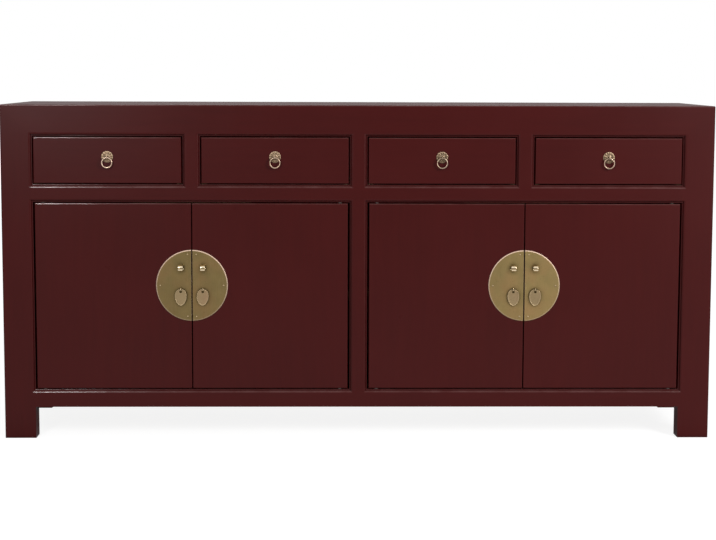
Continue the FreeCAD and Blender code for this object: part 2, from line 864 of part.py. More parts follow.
def ring(xs):
    """Ring that hangs in the eye of its pin."""
    centre = Vector(sum(xs) / 2, ring_depth, ring_pin_z - ring_hang - ring_radius)
    return Part.makeTorus(ring_radius, ring_wire_radius, centre, Vector(0, 1, 0))


def write(node, shapes):
    """Write one sub-part, moved so that the cabinet's middle is over the origin."""
    solids = [solid for shape in shapes for solid in shape.Solids]
    placed = [solid.translated(Vector(0, front_y, 0)) for solid in solids]
    whole = placed[0] if len(placed) == 1 else Part.makeCompound(placed)
    whole.exportStep("parts/" + node + ".step")
    print(node, len(placed), "solids, valid", all(solid.isValid() for solid in placed))


def write_case():
    """Write the standing frame, its boards and what is fixed inside it."""
    for name, side in (("left", -1), ("right", 1)):
        write("front_post_" + name, [front_post(side)])
        write("back_post_" + name, [back_post(side)])
        write("side_panel_" + name, [box(*sided(side_panel_span(), side))])
    write("top_front_rail", [top_front_rail()])
    write("middle_rail", [front_rail((door_top_z, drawer_low_z), [])])
    write("bottom_rail", [front_rail((foot_height, door_low_z), [floor_tongue_span()])])
    write("front_stiles", front_stiles())
    write("side_rails", side_rails())
    write("back_frame", back_frame())
    write("back_panels", back_panels())
    write("top_panel", [top_panel()])
    write("floor_board", [floor_board()])
    write("centre_partition", [centre_partition()])
    write("shelves", shelves())
    write("inner_battens", inner_battens())
    write("drawer_runners", drawer_runners())
    write("door_pivot_pins", pivot_pins())


def write_doors():
    """Write the four doors with their brass."""
    for door in doors:
        name = "door_{}_".format(door)
        write(name + "leaf", door_leaf(door))
        write(name + "face_plate", [face_plate(door)])
        write(name + "plate_nails", plate_nails(door))
        write(name + "split_pins", [lock_eye(door), pull_pin(door)])
        write(name + "pull", [pull(door)])


def write_drawers():
    """Write the four drawers with their rings."""
    for drawer, xs in enumerate(drawer_spans(), 1):
        name = "drawer_{}_".format(drawer)
        write(name + "front", [drawer_front(xs)])
        write(name + "box", drawer_box(xs))
        write(name + "rosette", [rosette(xs)])
        write(name + "ring_pin", [ring_pin(xs)])
        write(name + "ring", [ring(xs)])


os.makedirs("parts", exist_ok=True)
write_case()
write_doors()
write_drawers()
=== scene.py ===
"""Looks of a long, low wedding cabinet: satin lacquer, brass fittings and plain wood inside.

Every length is in metres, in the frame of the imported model: x runs to the right along the
front, y from the front to the back and z up from the floor.
"""

import json
import logging
from dataclasses import dataclass
from enum import Enum
from math import acos, asin, copysign, cos, pi, radians, sin, tau
from random import Random
from typing import Dict, List, Optional, Sequence, Tuple, Union

import bmesh
import bpy
from mathutils import Matrix, Vector, noise


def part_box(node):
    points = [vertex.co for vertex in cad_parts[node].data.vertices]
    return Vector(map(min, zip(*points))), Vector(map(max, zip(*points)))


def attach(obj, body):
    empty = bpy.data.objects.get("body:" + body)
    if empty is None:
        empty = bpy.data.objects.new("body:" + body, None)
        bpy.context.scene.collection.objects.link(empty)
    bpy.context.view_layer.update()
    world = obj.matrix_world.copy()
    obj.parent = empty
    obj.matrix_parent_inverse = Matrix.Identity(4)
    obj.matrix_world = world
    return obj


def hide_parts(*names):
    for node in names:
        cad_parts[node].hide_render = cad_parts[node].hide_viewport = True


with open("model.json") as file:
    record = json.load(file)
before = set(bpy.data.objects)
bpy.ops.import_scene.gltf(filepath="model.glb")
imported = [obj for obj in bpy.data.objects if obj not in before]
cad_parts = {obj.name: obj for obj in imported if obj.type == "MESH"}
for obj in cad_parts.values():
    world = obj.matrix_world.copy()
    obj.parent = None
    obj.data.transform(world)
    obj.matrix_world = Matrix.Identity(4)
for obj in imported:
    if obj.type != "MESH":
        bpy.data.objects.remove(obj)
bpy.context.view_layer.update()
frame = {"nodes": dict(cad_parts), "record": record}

log = logging.getLogger("cabinet")

Pair = Tuple[float, float]
Triple = Tuple[float, float, float]
Span = Tuple[float, float, float, float]
Colour = Triple
Material = bpy.types.Material
Socket = bpy.types.NodeSocket
Outlets = bpy.types.NodeOutputs
Inputs = Dict[Union[str, int], object]
Grid = List[List[Vector]]
Profile = Sequence[Pair]

MM = 0.001
DOOR_PULL_LEANS = (0.0, 2.0, -1.0, 1.5)
DOOR_TONES = (0.70, 0.74, 1.0, 1.06)
DRAWER_TONES = (1.0, 0.9, 0.7, 0.74)


class Grain(Enum):
    """Way that the wood under a finish runs, as how much each axis is stretched."""

    ALONG_X = (0.05, 1.0, 1.0)
    ALONG_Y = (1.0, 0.05, 1.0)
    ALONG_Z = (1.0, 1.0, 0.05)


@dataclass(frozen=True)
class Tone:
    """Look of one kind of brass where it is clean and dull, and its bright tone, which the painted
    highlights and worn patches use.

    The roughness goes from polished to smeared, and the edge roughness is added on the
    arrises. The grime gives the cover of ambient occlusion at which the painted shade and
    dirt start and at which they are full, and the reach how far away, in metres, a piece still
    gives cover. An even tone is as much lighter or darker under its painted highlights and
    worn patches as elsewhere.
    """

    clean: Colour
    dull: Colour
    bright: Colour
    roughness: Pair
    edge_roughness: float = 0.0
    grime_and_shade: Pair = (0.0, 1.0)
    reach: float = 0.010
    even: bool = False


class BrassTone(Enum):
    """The kinds of brass on the cabinet."""

    # The plate and the rosette are darkened near the fittings on them, by ambient occlusion:
    # painted shade, with some dirt.
    PLATE = Tone((0.275, 0.194, 0.075), (0.200, 0.150, 0.058), (0.66, 0.49, 0.39), (0.30, 0.42),
                 edge_roughness=0.30, grime_and_shade=(0.03, 0.36), reach=0.014)
    PULL = Tone((0.290, 0.209, 0.114), (0.230, 0.166, 0.088), (0.42, 0.32, 0.19), (0.36, 0.48),
                edge_roughness=0.15)
    ROSETTE = Tone((0.200, 0.135, 0.077), (0.095, 0.060, 0.029), (0.38, 0.27, 0.18), (0.36, 0.46),
                   grime_and_shade=(0.05, 0.30), even=True)
    EYE = Tone((0.320, 0.235, 0.115), (0.200, 0.145, 0.070), (0.84, 0.70, 0.48), (0.12, 0.20))
    RING = Tone((0.400, 0.290, 0.170), (0.200, 0.140, 0.070), (0.66, 0.49, 0.38), (0.28, 0.38),
                even=True)


class Graph:
    """A node tree, with short ways to add nodes and to join them."""

    def __init__(self, tree: bpy.types.NodeTree) -> None:
        """Empty a tree and keep it."""
        self.tree = tree
        tree.nodes.clear()

    def fill(self, node: bpy.types.Node, inputs: Inputs) -> bpy.types.Node:
        """Fill a node's inputs.

        Args:
            node: The node.
            inputs: What goes into its sockets, by name or place: a value, or a socket to join.

        Returns:
            The node.
        """
        for key, value in inputs.items():
            if isinstance(value, Socket):
                self.tree.links.new(value, node.inputs[key])
            else:
                node.inputs[key].default_value = value
        return node

    def add(self, kind: str, inputs: Optional[Inputs] = None,
            **settings: object) -> bpy.types.Node:
        """Add a node and fill its inputs.

        Args:
            kind: Name of the node's type, without its first word, ShaderNode.
            inputs: What goes into its sockets.
            settings: Properties of the node itself.

        Returns:
            The new node.
        """
        node = self.tree.nodes.new("ShaderNode" + kind)
        for name, value in settings.items():
            setattr(node, name, value)
        return self.fill(node, inputs or {})

    def group(self, tree: bpy.types.NodeTree, **inputs: object) -> Outlets:
        """Place a shared group and give its outputs."""
        return self.add("Group", inputs, node_tree=tree).outputs

    def maths(self, operation: str, *values: object) -> Socket:
        """Work out one number from numbers or sockets."""
        return self.add("Math", dict(enumerate(values)), operation=operation).outputs[0]

    def vector(self, operation: str, *values: object) -> Socket:
        """Work out one vector from vectors or sockets."""
        return self.add("VectorMath", dict(enumerate(values)), operation=operation).outputs[0]

    def remap(self, value: Socket, low: float, high: float, to_low: float,
              to_high: float) -> Socket:
        """Turn the range from low to high into another, held at its ends."""
        return self.add("MapRange", {0: value, 1: low, 2: high, 3: to_low, 4: to_high}).outputs[0]

    def noise(self, vector: Socket, scale: object, detail: float = 3.0, rough: float = 0.55,
              swirl: float = 0.0) -> Socket:
        """Noise with so many lumps to a metre, its finer layers, their strength and a stirring."""
        return self.add("TexNoise", {"Vector": vector, "Scale": scale, "Detail": detail,
                                     "Roughness": rough, "Distortion": swirl}).outputs[0]

    def bump(self, height: Socket, strength: float, depth: float) -> Socket:
        """Turn a height into a normal, with the depth in metres of a height of 1."""
        return self.add("Bump", {"Strength": strength, "Distance": depth,
                                 "Height": height}).outputs[0]

    def layers(self, base: Span, *layers: Tuple[object, Colour, float]) -> Socket:
        """Lay colours over each other.

        Args:
            base: The lowest colour, with its alpha.
            layers: Cover, colour and gain of each layer above it, from the lowest up.

        Returns:
            The socket with the colour that shows.
        """
        tone = base
        for cover, colour, gain in layers:
            tone = self.add("Mix", {0: cover, 6: tone, 7: rgba(colour, gain)},
                            data_type="RGBA").outputs[2]
        return tone


def rgba(colour: Colour, gain: float = 1.0) -> Span:
    """Colour with an alpha, made lighter or darker by a gain."""
    return (colour[0] * gain, colour[1] * gain, colour[2] * gain, 1.0)


class Group(Graph):
    """Node tree of a shared group, with the sockets that its inputs come from."""

    def __init__(self, name: str, **inputs: object) -> None:
        """Make a group that holds nothing but its inputs.

        Args:
            name: Name of the group.
            inputs: Name and first value of each input but the first, which is the place.
        """
        super().__init__(bpy.data.node_groups.new(name, "ShaderNodeTree"))
        self.socket("Vector", "INPUT", "Vector")
        for label, value in inputs.items():
            kind = "Vector" if isinstance(value, tuple) else "Float"
            self.socket(label, "INPUT", kind).default_value = value
        self.start = self.tree.nodes.new("NodeGroupInput").outputs

    def socket(self, label: str, way: str, kind: str) -> bpy.types.NodeTreeInterfaceSocket:
        """Add an input or an output of one kind."""
        return self.tree.interface.new_socket(label, in_out=way, socket_type="NodeSocket" + kind)

    def close(self, **outputs: Socket) -> bpy.types.NodeTree:
        """Give the group its outputs.

        Args:
            outputs: Name and source of each, which is a number.

        Returns:
            The finished tree.
        """
        for label in outputs:
            self.socket(label, "OUTPUT", "Float")
        self.fill(self.tree.nodes.new("NodeGroupOutput"), outputs)
        return self.tree


class Effects:
    """Shader groups that more than one finish uses, each built once."""

    def __init__(self) -> None:
        """Build the groups."""
        self.grain = self._grain()
        self.edge_wear_and_highlight = self._edge_wear_and_highlight()
        self.crevice_dirt_and_shade = self._crevice_dirt_and_shade()
        self.handling = self._handling()

    @staticmethod
    def _grain() -> bpy.types.NodeTree:
        """Wood grain: long streaks, fine pores and broad changes of tone.

        Returns:
            The group.
        """
        group = Group("wood_grain", Stretch=(1, 1, 1), Pitch=60.0, Wander=0.02)
        place, pitch = group.start["Vector"], group.start["Pitch"]
        middle_grey = (0.5, 0.5, 0.5)
        pores_per_streak, pore_span = 7.0, (0.56, 0.7, 0.0, 1.0)
        broad = group.add("TexNoise", {"Vector": place, "Scale": 4.0, "Detail": 2.0})
        bend = group.vector("SUBTRACT", broad.outputs["Color"], middle_grey)
        drift = group.add("VectorMath", {0: bend, 3: group.start["Wander"]}, operation="SCALE")
        moved = group.vector("ADD", place, drift.outputs[0])
        drawn_out = group.vector("MULTIPLY", moved, group.start["Stretch"])
        fine = group.noise(drawn_out, group.maths("MULTIPLY", pitch, pores_per_streak), detail=2.0)
        return group.close(Streaks=group.noise(drawn_out, pitch, detail=5.0, rough=0.6),
                           Pores=group.remap(fine, *pore_span), Broad=broad.outputs[0])

    @staticmethod
    def _edge_wear_and_highlight() -> bpy.types.NodeTree:
        """Masks of the outer edges: all of them, for wear, and the rounded arrises and those that
        face up, which the finishes use for painted highlights.

        Returns:
            The group, which also gives how far up the surface faces.
        """
        group = Group("edge_wear_and_highlight", Width=0.002, Gain=4.0, Breakup=30.0)
        start = group.start
        breakup_span = (0.35, 0.65, 0.35, 1.0)
        arris_span, upper_span = (0.998, 0.985, 0.0, 1.0), (0.03, 0.12, 0.0, 1.0)
        rounded = group.add("Bevel", {"Radius": start["Width"]}, samples=6).outputs[0]
        facing = group.add("NewGeometry").outputs["Normal"]
        dot = group.add("VectorMath", {0: rounded, 1: facing},
                        operation="DOT_PRODUCT").outputs["Value"]
        edge = group.maths("MULTIPLY", group.maths("SUBTRACT", 1.0, dot), start["Gain"])
        patches = group.noise(start["Vector"], start["Breakup"], detail=4.0, rough=0.65)
        breakup = group.remap(patches, *breakup_span)
        worn = group.maths("MULTIPLY", edge, breakup)
        own = group.add("TexCoord").outputs["Normal"]
        size = group.add("SeparateXYZ", {0: group.vector("ABSOLUTE", own)}).outputs
        most = group.maths("MAXIMUM", group.maths("MAXIMUM", size["X"], size["Y"]), size["Z"])
        arris = group.remap(most, *arris_span)
        level = group.add("SeparateXYZ", {0: own}).outputs["Z"]
        # Arrises that face up: where the finishes paint highlights.
        upper = group.maths("MULTIPLY", arris, group.remap(level, *upper_span))
        return group.close(Mask=group.maths("MINIMUM", worn, 1.0), Arris=arris,
                           Upper=group.maths("MULTIPLY", upper, breakup), Level=level)

    @staticmethod
    def _crevice_dirt_and_shade() -> bpy.types.NodeTree:
        """Mask of the corners and gaps, by ambient occlusion: where dust and old polish gather,
        and where the finishes paint shade.

        Returns:
            The group.
        """
        group = Group("crevice_dirt_and_shade", Reach=0.01, Breakup=60.0)
        patch_span = (0.3, 0.7, 0.6, 1.0)
        open_share = group.add("AmbientOcclusion", {"Distance": group.start["Reach"]},
                               samples=6).outputs["AO"]
        patches = group.noise(group.start["Vector"], group.start["Breakup"])
        return group.close(Mask=group.maths("MULTIPLY", group.maths("SUBTRACT", 1.0, open_share),
                                            group.remap(patches, *patch_span)))

    @staticmethod
    def _handling() -> bpy.types.NodeTree:
        """Soft smears and fine specks that years of wiping leave on a smooth finish.

        Returns:
            The group.
        """
        group = Group("handling", Size=8.0)
        place, size = group.start["Vector"], group.start["Size"]
        smear_span, speck_span = (0.25, 0.75, 0.0, 1.0), (0.6, 0.75, 0.0, 1.0)
        specks_per_smear = 90.0
        smears = group.noise(place, size, detail=4.0, swirl=0.5)
        specks = group.noise(place, group.maths("MULTIPLY", size, specks_per_smear), detail=2.0)
        return group.close(Smears=group.remap(smears, *smear_span),
                           Specks=group.remap(specks, *speck_span))


class Coat:
    """A material in the making, with one principled shader."""

    spread = 3

    def __init__(self, name: str, seed: int = 0) -> None:
        """Start a material.

        Args:
            name: Name of the material.
            seed: Moves its patterns, so that like pieces differ.
        """
        self.material = bpy.data.materials.new(name)
        self.material.use_nodes = True
        self.graph = Graph(self.material.node_tree)
        self.shader = self.graph.add("BsdfPrincipled")
        self.graph.add("OutputMaterial", {"Surface": self.shader.outputs[0]})
        shift = Random(seed)
        offset = tuple(shift.uniform(-self.spread, self.spread) for _ in "xyz")
        own = self.graph.add("TexCoord").outputs["Object"]
        self.place = self.graph.vector("ADD", own, offset)

    def finish(self, **inputs: object) -> Material:
        """Fill the shader's sockets, whose names have an underscore for each space."""
        self.graph.fill(self.shader, {key.replace("_", " "): inputs[key] for key in inputs})
        return self.material


@dataclass(frozen=True)
class Lacquer:
    """Dark oxblood lacquer, satin, over close-grained wood, with painted highlights on its upper
    arrises.

    In this and the other finishes a span turns a range of a pattern into a range of cover or
    roughness, a share is the most that a mask covers, and a gain makes a colour lighter or
    darker. A relief is the strength of the bumps and their depth in metres.
    """

    effects: Effects
    colour: Colour = (0.0560, 0.0048, 0.0044)
    deep: Colour = (0.0280, 0.0022, 0.0020)
    worn: Colour = (0.100, 0.022, 0.019)
    # Painted highlight tones: a pale one on the arrises that face up, and a paler one where they
    # are strongest toward the left end.
    highlight_and_wear: Colour = (0.085, 0.024, 0.022)
    left_highlight_tone: Colour = (0.30, 0.135, 0.130)
    streak_span: Span = (0.3, 0.7, 0.0, 0.24)
    broad_span: Span = (0.35, 0.65, 0.0, 0.35)
    broad_gain: float = 1.18
    worn_share: float = 0.12
    left_highlight_share: float = 0.45
    dirt_and_shade_share: float = 0.7
    dirt_and_shade_gain: float = 0.5
    gloss: float = 0.13
    arris_shine: float = 0.11
    shine_places: Pair = (-0.80, -0.45)
    shine_roughness: float = 0.15
    shine_ior: float = 1.8
    roughness: Pair = (0.27, 0.34)
    speck_roughness: float = 0.06
    dusting_span: Span = (0.97, 1.0, 0.0, 0.20)
    pore_depth: float = -0.4
    peel_scale: float = 260.0
    peel_depth: float = 0.6
    relief: Pair = (0.35, 0.00012)

    def material(self, name: str, grain: Grain, seed: int,
                 left_highlight: float) -> Material:
        """Lacquer on a piece whose grain runs one way.

        Args:
            name: Name of the material.
            grain: The way the wood runs.
            seed: Moves the patterns, so that neighbours differ.
            left_highlight: How strong the coat and the painted highlight on its upper arrises are
                at the left end.

        Returns:
            The material.
        """
        coat = Coat(name, seed)
        graph, place, effects = coat.graph, coat.place, self.effects
        wood = graph.group(effects.grain, Vector=place, Stretch=grain.value, Pitch=90.0,
                           Wander=0.03)
        hands = graph.group(effects.handling, Vector=place, Size=7.0)
        edges = graph.group(effects.edge_wear_and_highlight, Vector=place, Width=0.0016, Gain=2.6,
                            Breakup=24.0)
        corners = graph.group(effects.crevice_dirt_and_shade, Vector=place, Reach=0.012)
        along = graph.add("SeparateXYZ", {0: graph.add("TexCoord").outputs["Object"]}).outputs["X"]
        # Coat and painted highlight on the arrises that face up, strongest toward the left end.
        shine = graph.maths("MULTIPLY", edges["Upper"],
                            graph.remap(along, *self.shine_places, left_highlight, self.arris_shine))
        tone = graph.layers(
            rgba(self.colour),
            (graph.remap(wood["Streaks"], *self.streak_span), self.deep, 1.0),
            (graph.remap(wood["Broad"], *self.broad_span), self.colour, self.broad_gain),
            (graph.maths("MULTIPLY", edges["Mask"], self.worn_share), self.worn, 1.0),
            # Painted highlight: a paler tone on the arrises that face up.
            (edges["Upper"], self.highlight_and_wear, 1.0),
            # Painted highlight: paler still on those arrises toward the left end.
            (graph.maths("MULTIPLY", shine, self.left_highlight_share), self.left_highlight_tone, 1.0),
            # Painted shade and dust: darker in corners and gaps, by ambient occlusion.
            (graph.maths("MULTIPLY", corners["Mask"], self.dirt_and_shade_share), self.deep,
             self.dirt_and_shade_gain))
        rough = graph.remap(hands["Smears"], 0.0, 1.0, *self.roughness)
        rough = graph.maths("MULTIPLY_ADD", hands["Specks"], self.speck_roughness, rough)
        rough = graph.maths("ADD", rough, graph.remap(edges["Level"], *self.dusting_span))
        height = graph.maths("MULTIPLY_ADD", wood["Pores"], self.pore_depth, wood["Streaks"])
        height = graph.maths("MULTIPLY_ADD", graph.noise(place, self.peel_scale, detail=2.0),
                             self.peel_depth, height)
        return coat.finish(Base_Color=tone, Roughness=rough, Specular_IOR_Level=self.gloss,
                           Coat_Weight=shine, Coat_Roughness=self.shine_roughness,
                           Coat_IOR=self.shine_ior, Normal=graph.bump(height, *self.relief))


@dataclass(frozen=True)
class Brass:
    """Satin brass, brushed upright and dulled by age.

    Each noise gives its lumps to a metre, its finer layers and their strength.
    """

    effects: Effects
    brush_stretch: Triple = (1.0, 1.0, 0.02)
    line_noise: Triple = (1500.0, 2.0, 0.6)
    cloud_noise: Triple = (28.0, 4.0, 0.6)
    spot_noise: Triple = (170.0, 3.0, 0.6)
    warm_noise: Pair = (16.0, 2.0)
    warmth: Colour = (1.12, 0.93, 1.0)
    dull_span: Span = (0.35, 0.68, 0.0, 0.45)
    warm_span: Span = (0.45, 0.66, 0.0, 0.55)
    line_span: Span = (0.35, 0.65, 0.0, 0.05)
    spot_span: Span = (0.60, 0.74, 0.0, 1.0)
    spot_share: float = 0.25
    spot_gain: float = 0.6
    spot_roughness: float = 0.12
    # Painted highlight bands on the lock eye's faces that turn up and down.
    eye_highlight_span: Span = (0.16, 0.42, 0.0, 1.0)
    ring_span: Span = (0.35, 0.65, 0.9, 0.3)
    # Painted highlight on arrises, by how far they face up.
    arris_span: Span = (-0.5, 0.35, 0.12, 0.95)
    grime_and_shade_share: float = 0.8
    grime_and_shade_gain: float = 0.3
    line_depth: float = 0.5
    relief: Pair = (0.3, 0.0001)

    def material(self, name: str, kind: BrassTone, seed: int, gain: float = 1.0,
                 brushing: float = 1.0) -> Material:
        """Brass of one tone.

        Args:
            name: Name of the material.
            kind: The tone.
            seed: Moves the patterns, so that fittings differ.
            gain: How much lighter this fitting is than the others.
            brushing: How strong the brushed lines are.

        Returns:
            The material.
        """
        coat = Coat(name, seed)
        graph, place, effects, look = coat.graph, coat.place, self.effects, kind.value
        lines = graph.noise(graph.vector("MULTIPLY", place, self.brush_stretch), *self.line_noise)
        cloudy = graph.noise(place, *self.cloud_noise)
        spots = graph.remap(graph.noise(place, *self.spot_noise), *self.spot_span)
        hands = graph.group(effects.handling, Vector=place, Size=30.0)
        edges = graph.group(effects.edge_wear_and_highlight, Vector=place, Width=0.0006, Gain=3.0,
                            Breakup=120.0)
        corners = graph.group(effects.crevice_dirt_and_shade, Vector=place, Reach=look.reach, Breakup=150.0)
        warm = tuple(part * gain for part, gain in zip(look.clean, self.warmth))
        tone = graph.layers(
            rgba(look.clean, gain),
            (graph.remap(cloudy, *self.dull_span), look.dull, gain),
            (graph.remap(graph.noise(place, *self.warm_noise), *self.warm_span), warm, gain),
            (graph.remap(lines, *self.line_span), look.bright, gain),
            (graph.maths("MULTIPLY", spots, self.spot_share), look.dull, self.spot_gain * gain),
            # Bright tone under the painted highlights, and on the ring's worn patches.
            (self.highlight_and_wear(graph, kind, edges, cloudy), look.bright, gain if look.even else 1.0),
            # Painted shade, with some dirt: duller and darker brass near what stands on it, by
            # ambient occlusion.
            (graph.remap(corners["Mask"], *look.grime_and_shade, 0.0, self.grime_and_shade_share), look.dull,
             self.grime_and_shade_gain))
        rough = graph.remap(hands["Smears"], 0.0, 1.0, *look.roughness)
        rough = graph.maths("MULTIPLY_ADD", spots, self.spot_roughness, rough)
        rough = graph.maths("MULTIPLY_ADD", edges["Arris"], look.edge_roughness, rough)
        height = graph.maths("MULTIPLY_ADD", lines, self.line_depth * brushing, cloudy)
        return coat.finish(Base_Color=tone, Roughness=rough, Metallic=1.0,
                           Normal=graph.bump(height, *self.relief))

    def highlight_and_wear(self, graph: Graph, kind: BrassTone, edges: Outlets, cloudy: Socket) -> Socket:
        """Mask of the painted highlights on one kind of brass, and of worn patches on the ring.

        Args:
            graph: The graph to add it to.
            kind: The tone.
            edges: The outputs of the edge wear.
            cloudy: The cloudy pattern of the metal.

        Returns:
            The socket with the mask.
        """
        # Painted highlight bands where the eye's surface turns up and where it turns down.
        if kind is BrassTone.EYE:
            return graph.remap(graph.maths("ABSOLUTE", edges["Level"]), *self.eye_highlight_span)
        if kind is BrassTone.RING:
            return graph.remap(cloudy, *self.ring_span)
        # Painted highlight on arrises, bright where they face up and faint where they face down.
        slope = graph.remap(edges["Level"], *self.arris_span)
        return graph.maths("MULTIPLY", edges["Arris"], slope)


@dataclass(frozen=True)
class InnerWood:
    """Plain planed softwood, oiled by nothing but use."""

    effects: Effects
    colour: Colour = (0.36, 0.215, 0.115)
    late: Colour = (0.21, 0.105, 0.048)
    pale: Colour = (0.47, 0.31, 0.18)
    rings_per_streak: float = 6.0
    ring_span: Span = (0.55, 1.0, 0.0, 0.75)
    broad_span: Span = (0.3, 0.7, 0.0, 0.5)
    pore_share: float = 0.35
    pore_gain: float = 0.6
    worn_share: float = 0.3
    dirt_and_shade_share: float = 0.45
    dirt_and_shade_gain: float = 0.5
    gloss: float = 0.3
    roughness: Pair = (0.55, 0.72)
    pore_depth: float = -0.8
    relief: Pair = (0.4, 0.0003)

    def material(self, name: str, grain: Grain, seed: int) -> Material:
        """Softwood with its grain one way.

        Args:
            name: Name of the material.
            grain: The way the wood runs.
            seed: Moves the patterns, so that boards differ.

        Returns:
            The material.
        """
        coat = Coat(name, seed)
        graph, place, effects = coat.graph, coat.place, self.effects
        wood = graph.group(effects.grain, Vector=place, Stretch=grain.value, Pitch=45.0,
                           Wander=0.06)
        hands = graph.group(effects.handling, Vector=place, Size=9.0)
        edges = graph.group(effects.edge_wear_and_highlight, Vector=place, Width=0.0015, Gain=2.0)
        corners = graph.group(effects.crevice_dirt_and_shade, Vector=place, Reach=0.02)
        folded = graph.maths("MULTIPLY", wood["Streaks"], self.rings_per_streak)
        rings = graph.maths("PINGPONG", folded, 1.0)
        tone = graph.layers(
            rgba(self.colour),
            (graph.remap(rings, *self.ring_span), self.late, 1.0),
            (graph.remap(wood["Broad"], *self.broad_span), self.pale, 1.0),
            (graph.maths("MULTIPLY", wood["Pores"], self.pore_share), self.late, self.pore_gain),
            (graph.maths("MULTIPLY", edges["Mask"], self.worn_share), self.pale, 1.0),
            # Painted shade and dust: darker in corners and gaps, by ambient occlusion.
            (graph.maths("MULTIPLY", corners["Mask"], self.dirt_and_shade_share), self.late,
             self.dirt_and_shade_gain))
        rough = graph.remap(hands["Smears"], 0.0, 1.0, *self.roughness)
        height = graph.maths("MULTIPLY_ADD", wood["Pores"], self.pore_depth, rings)
        return coat.finish(Base_Color=tone, Roughness=rough, Specular_IOR_Level=self.gloss,
                           Normal=graph.bump(height, *self.relief))


@dataclass(frozen=True)
class TurnedSteel:
    """Plain steel, turned to size, with a thin brown film."""

    effects: Effects
    colour: Colour = (0.085, 0.080, 0.076)
    film: Colour = (0.06, 0.045, 0.035)
    turned_stretch: Triple = (0.05, 0.05, 1.0)
    line_scale: float = 2500.0
    film_share: float = 0.5
    dirt_and_shade_gain: float = 0.4
    rough_span: Span = (0.3, 0.7, 0.28, 0.45)
    relief: Pair = (0.25, 0.0001)

    def material(self, name: str) -> Material:
        """Steel of pins and nails.

        Args:
            name: Name of the material.

        Returns:
            The material.
        """
        coat = Coat(name)
        graph, place = coat.graph, coat.place
        squashed = graph.vector("MULTIPLY", place, self.turned_stretch)
        rings = graph.noise(squashed, self.line_scale, detail=2.0)
        hands = graph.group(self.effects.handling, Vector=place, Size=60.0)
        corners = graph.group(self.effects.crevice_dirt_and_shade, Vector=place, Reach=0.004)
        tone = graph.layers(
            rgba(self.colour),
            (graph.maths("MULTIPLY", hands["Smears"], self.film_share), self.film, 1.0),
            # Painted shade and dirt: darker film in corners and gaps, by ambient occlusion.
            (corners["Mask"], self.film, self.dirt_and_shade_gain))
        return coat.finish(Base_Color=tone, Roughness=graph.remap(rings, *self.rough_span),
                           Metallic=1.0, Normal=graph.bump(rings, *self.relief))


def angles_round(steps: int) -> List[float]:
    """Angles of equal steps round a circle, in radians."""
    return [tau * k / steps for k in range(steps)]


def dome(radius: float, height: float, degrees: range) -> List[Pair]:
    """Profile of a domed head, from 90 degrees at its rim towards 0 at its top."""
    return [(radius * sin(turn), height * cos(turn)) for turn in map(radians, degrees)]


class Shape:
    """Mesh in the making: points and the faces between them.

    Points within the weld of each other are joined, an edge shorter than the shortest is
    dissolved, and one past the sharp angle stays sharp.
    """

    weld = 1e-6
    shortest_edge = 1e-7
    sharp_angle = radians(40)

    def __init__(self) -> None:
        """Start with nothing."""
        self.points: List[Vector] = []
        self.faces: List[Tuple[int, ...]] = []

    def surface(self, rows: Grid, around: bool = False, again: bool = False) -> None:
        """Add a surface through rows of points.

        Args:
            rows: Rows with as many points each.
            around: Whether each row closes on itself.
            again: Whether the last row joins the first.
        """
        start = len(self.points)
        size = len(rows[0])
        for row in rows:
            self.points.extend(row)
        for i in range(len(rows) if again else len(rows) - 1):
            j = (i + 1) % len(rows)
            for k in range(size if around else size - 1):
                m = (k + 1) % size
                self.faces.append((start + i * size + k, start + i * size + m,
                                   start + j * size + m, start + j * size + k))

    def lathe(self, centre: Vector, profile: Profile, steps: int = 24) -> None:
        """Add a turned form that points to the front, from each ring's radius and height."""
        self.surface([[centre + Vector((radius * cos(turn), -height, radius * sin(turn)))
                       for turn in angles_round(steps)] for radius, height in profile],
                     around=True)

    def tube(self, path: List[Vector], radii: Sequence[float], steps: int = 14,
             closed: bool = False) -> None:
        """Add a wire along a path that lies in one plane.

        Args:
            path: The points of the path.
            radii: The wire's radius at each.
            steps: How many points a ring has.
            closed: Whether the path closes on itself.
        """
        rows, ways = [], []
        for k, point in enumerate(path):
            before = path[k - 1] if closed or k else point
            after = path[(k + 1) % len(path)] if closed or k < len(path) - 1 else point
            ways.append((after - before).normalized())
        flat = max((ways[0].cross(way) for way in ways), key=lambda v: v.length).normalized()
        for point, way, radius in zip(path, ways, radii):
            across = flat.cross(way)
            rows.append([point + radius * (cos(turn) * across + sin(turn) * flat)
                         for turn in angles_round(steps)])
        if not closed:
            rows = [[path[0]] * steps] + rows + [[path[-1]] * steps]
        self.surface(rows, around=True, again=closed)

    def object(self, name: str, material: Material) -> bpy.types.Object:
        """Make the piece.

        Args:
            name: Name of the piece.
            material: Its finish.

        Returns:
            The new object.
        """
        mesh = bpy.data.meshes.new(name)
        mesh.from_pydata(self.points, [], self.faces)
        work = bmesh.new()
        work.from_mesh(mesh)
        bmesh.ops.remove_doubles(work, verts=work.verts, dist=self.weld)
        bmesh.ops.dissolve_degenerate(work, edges=work.edges, dist=self.shortest_edge)
        bmesh.ops.recalc_face_normals(work, faces=work.faces)
        work.to_mesh(mesh)
        work.free()
        mesh.shade_smooth()
        mesh.set_sharp_from_angle(angle=self.sharp_angle)
        mesh.materials.append(material)
        piece = bpy.data.objects.new(name, mesh)
        bpy.context.scene.collection.objects.link(piece)
        return piece


def mount(piece: bpy.types.Object, body: str, slot: str, *nodes: str) -> None:
    """Let a piece move with a body, and hide the nodes that it stands for.

    Args:
        piece: The piece.
        body: The body that carries it.
        slot: The record's slot for its finish; not used.
        nodes: The nodes that it stands for.
    """
    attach(piece, body)
    if nodes:
        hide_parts(*nodes)
    log.info("%s rides on %s", piece.name, body)


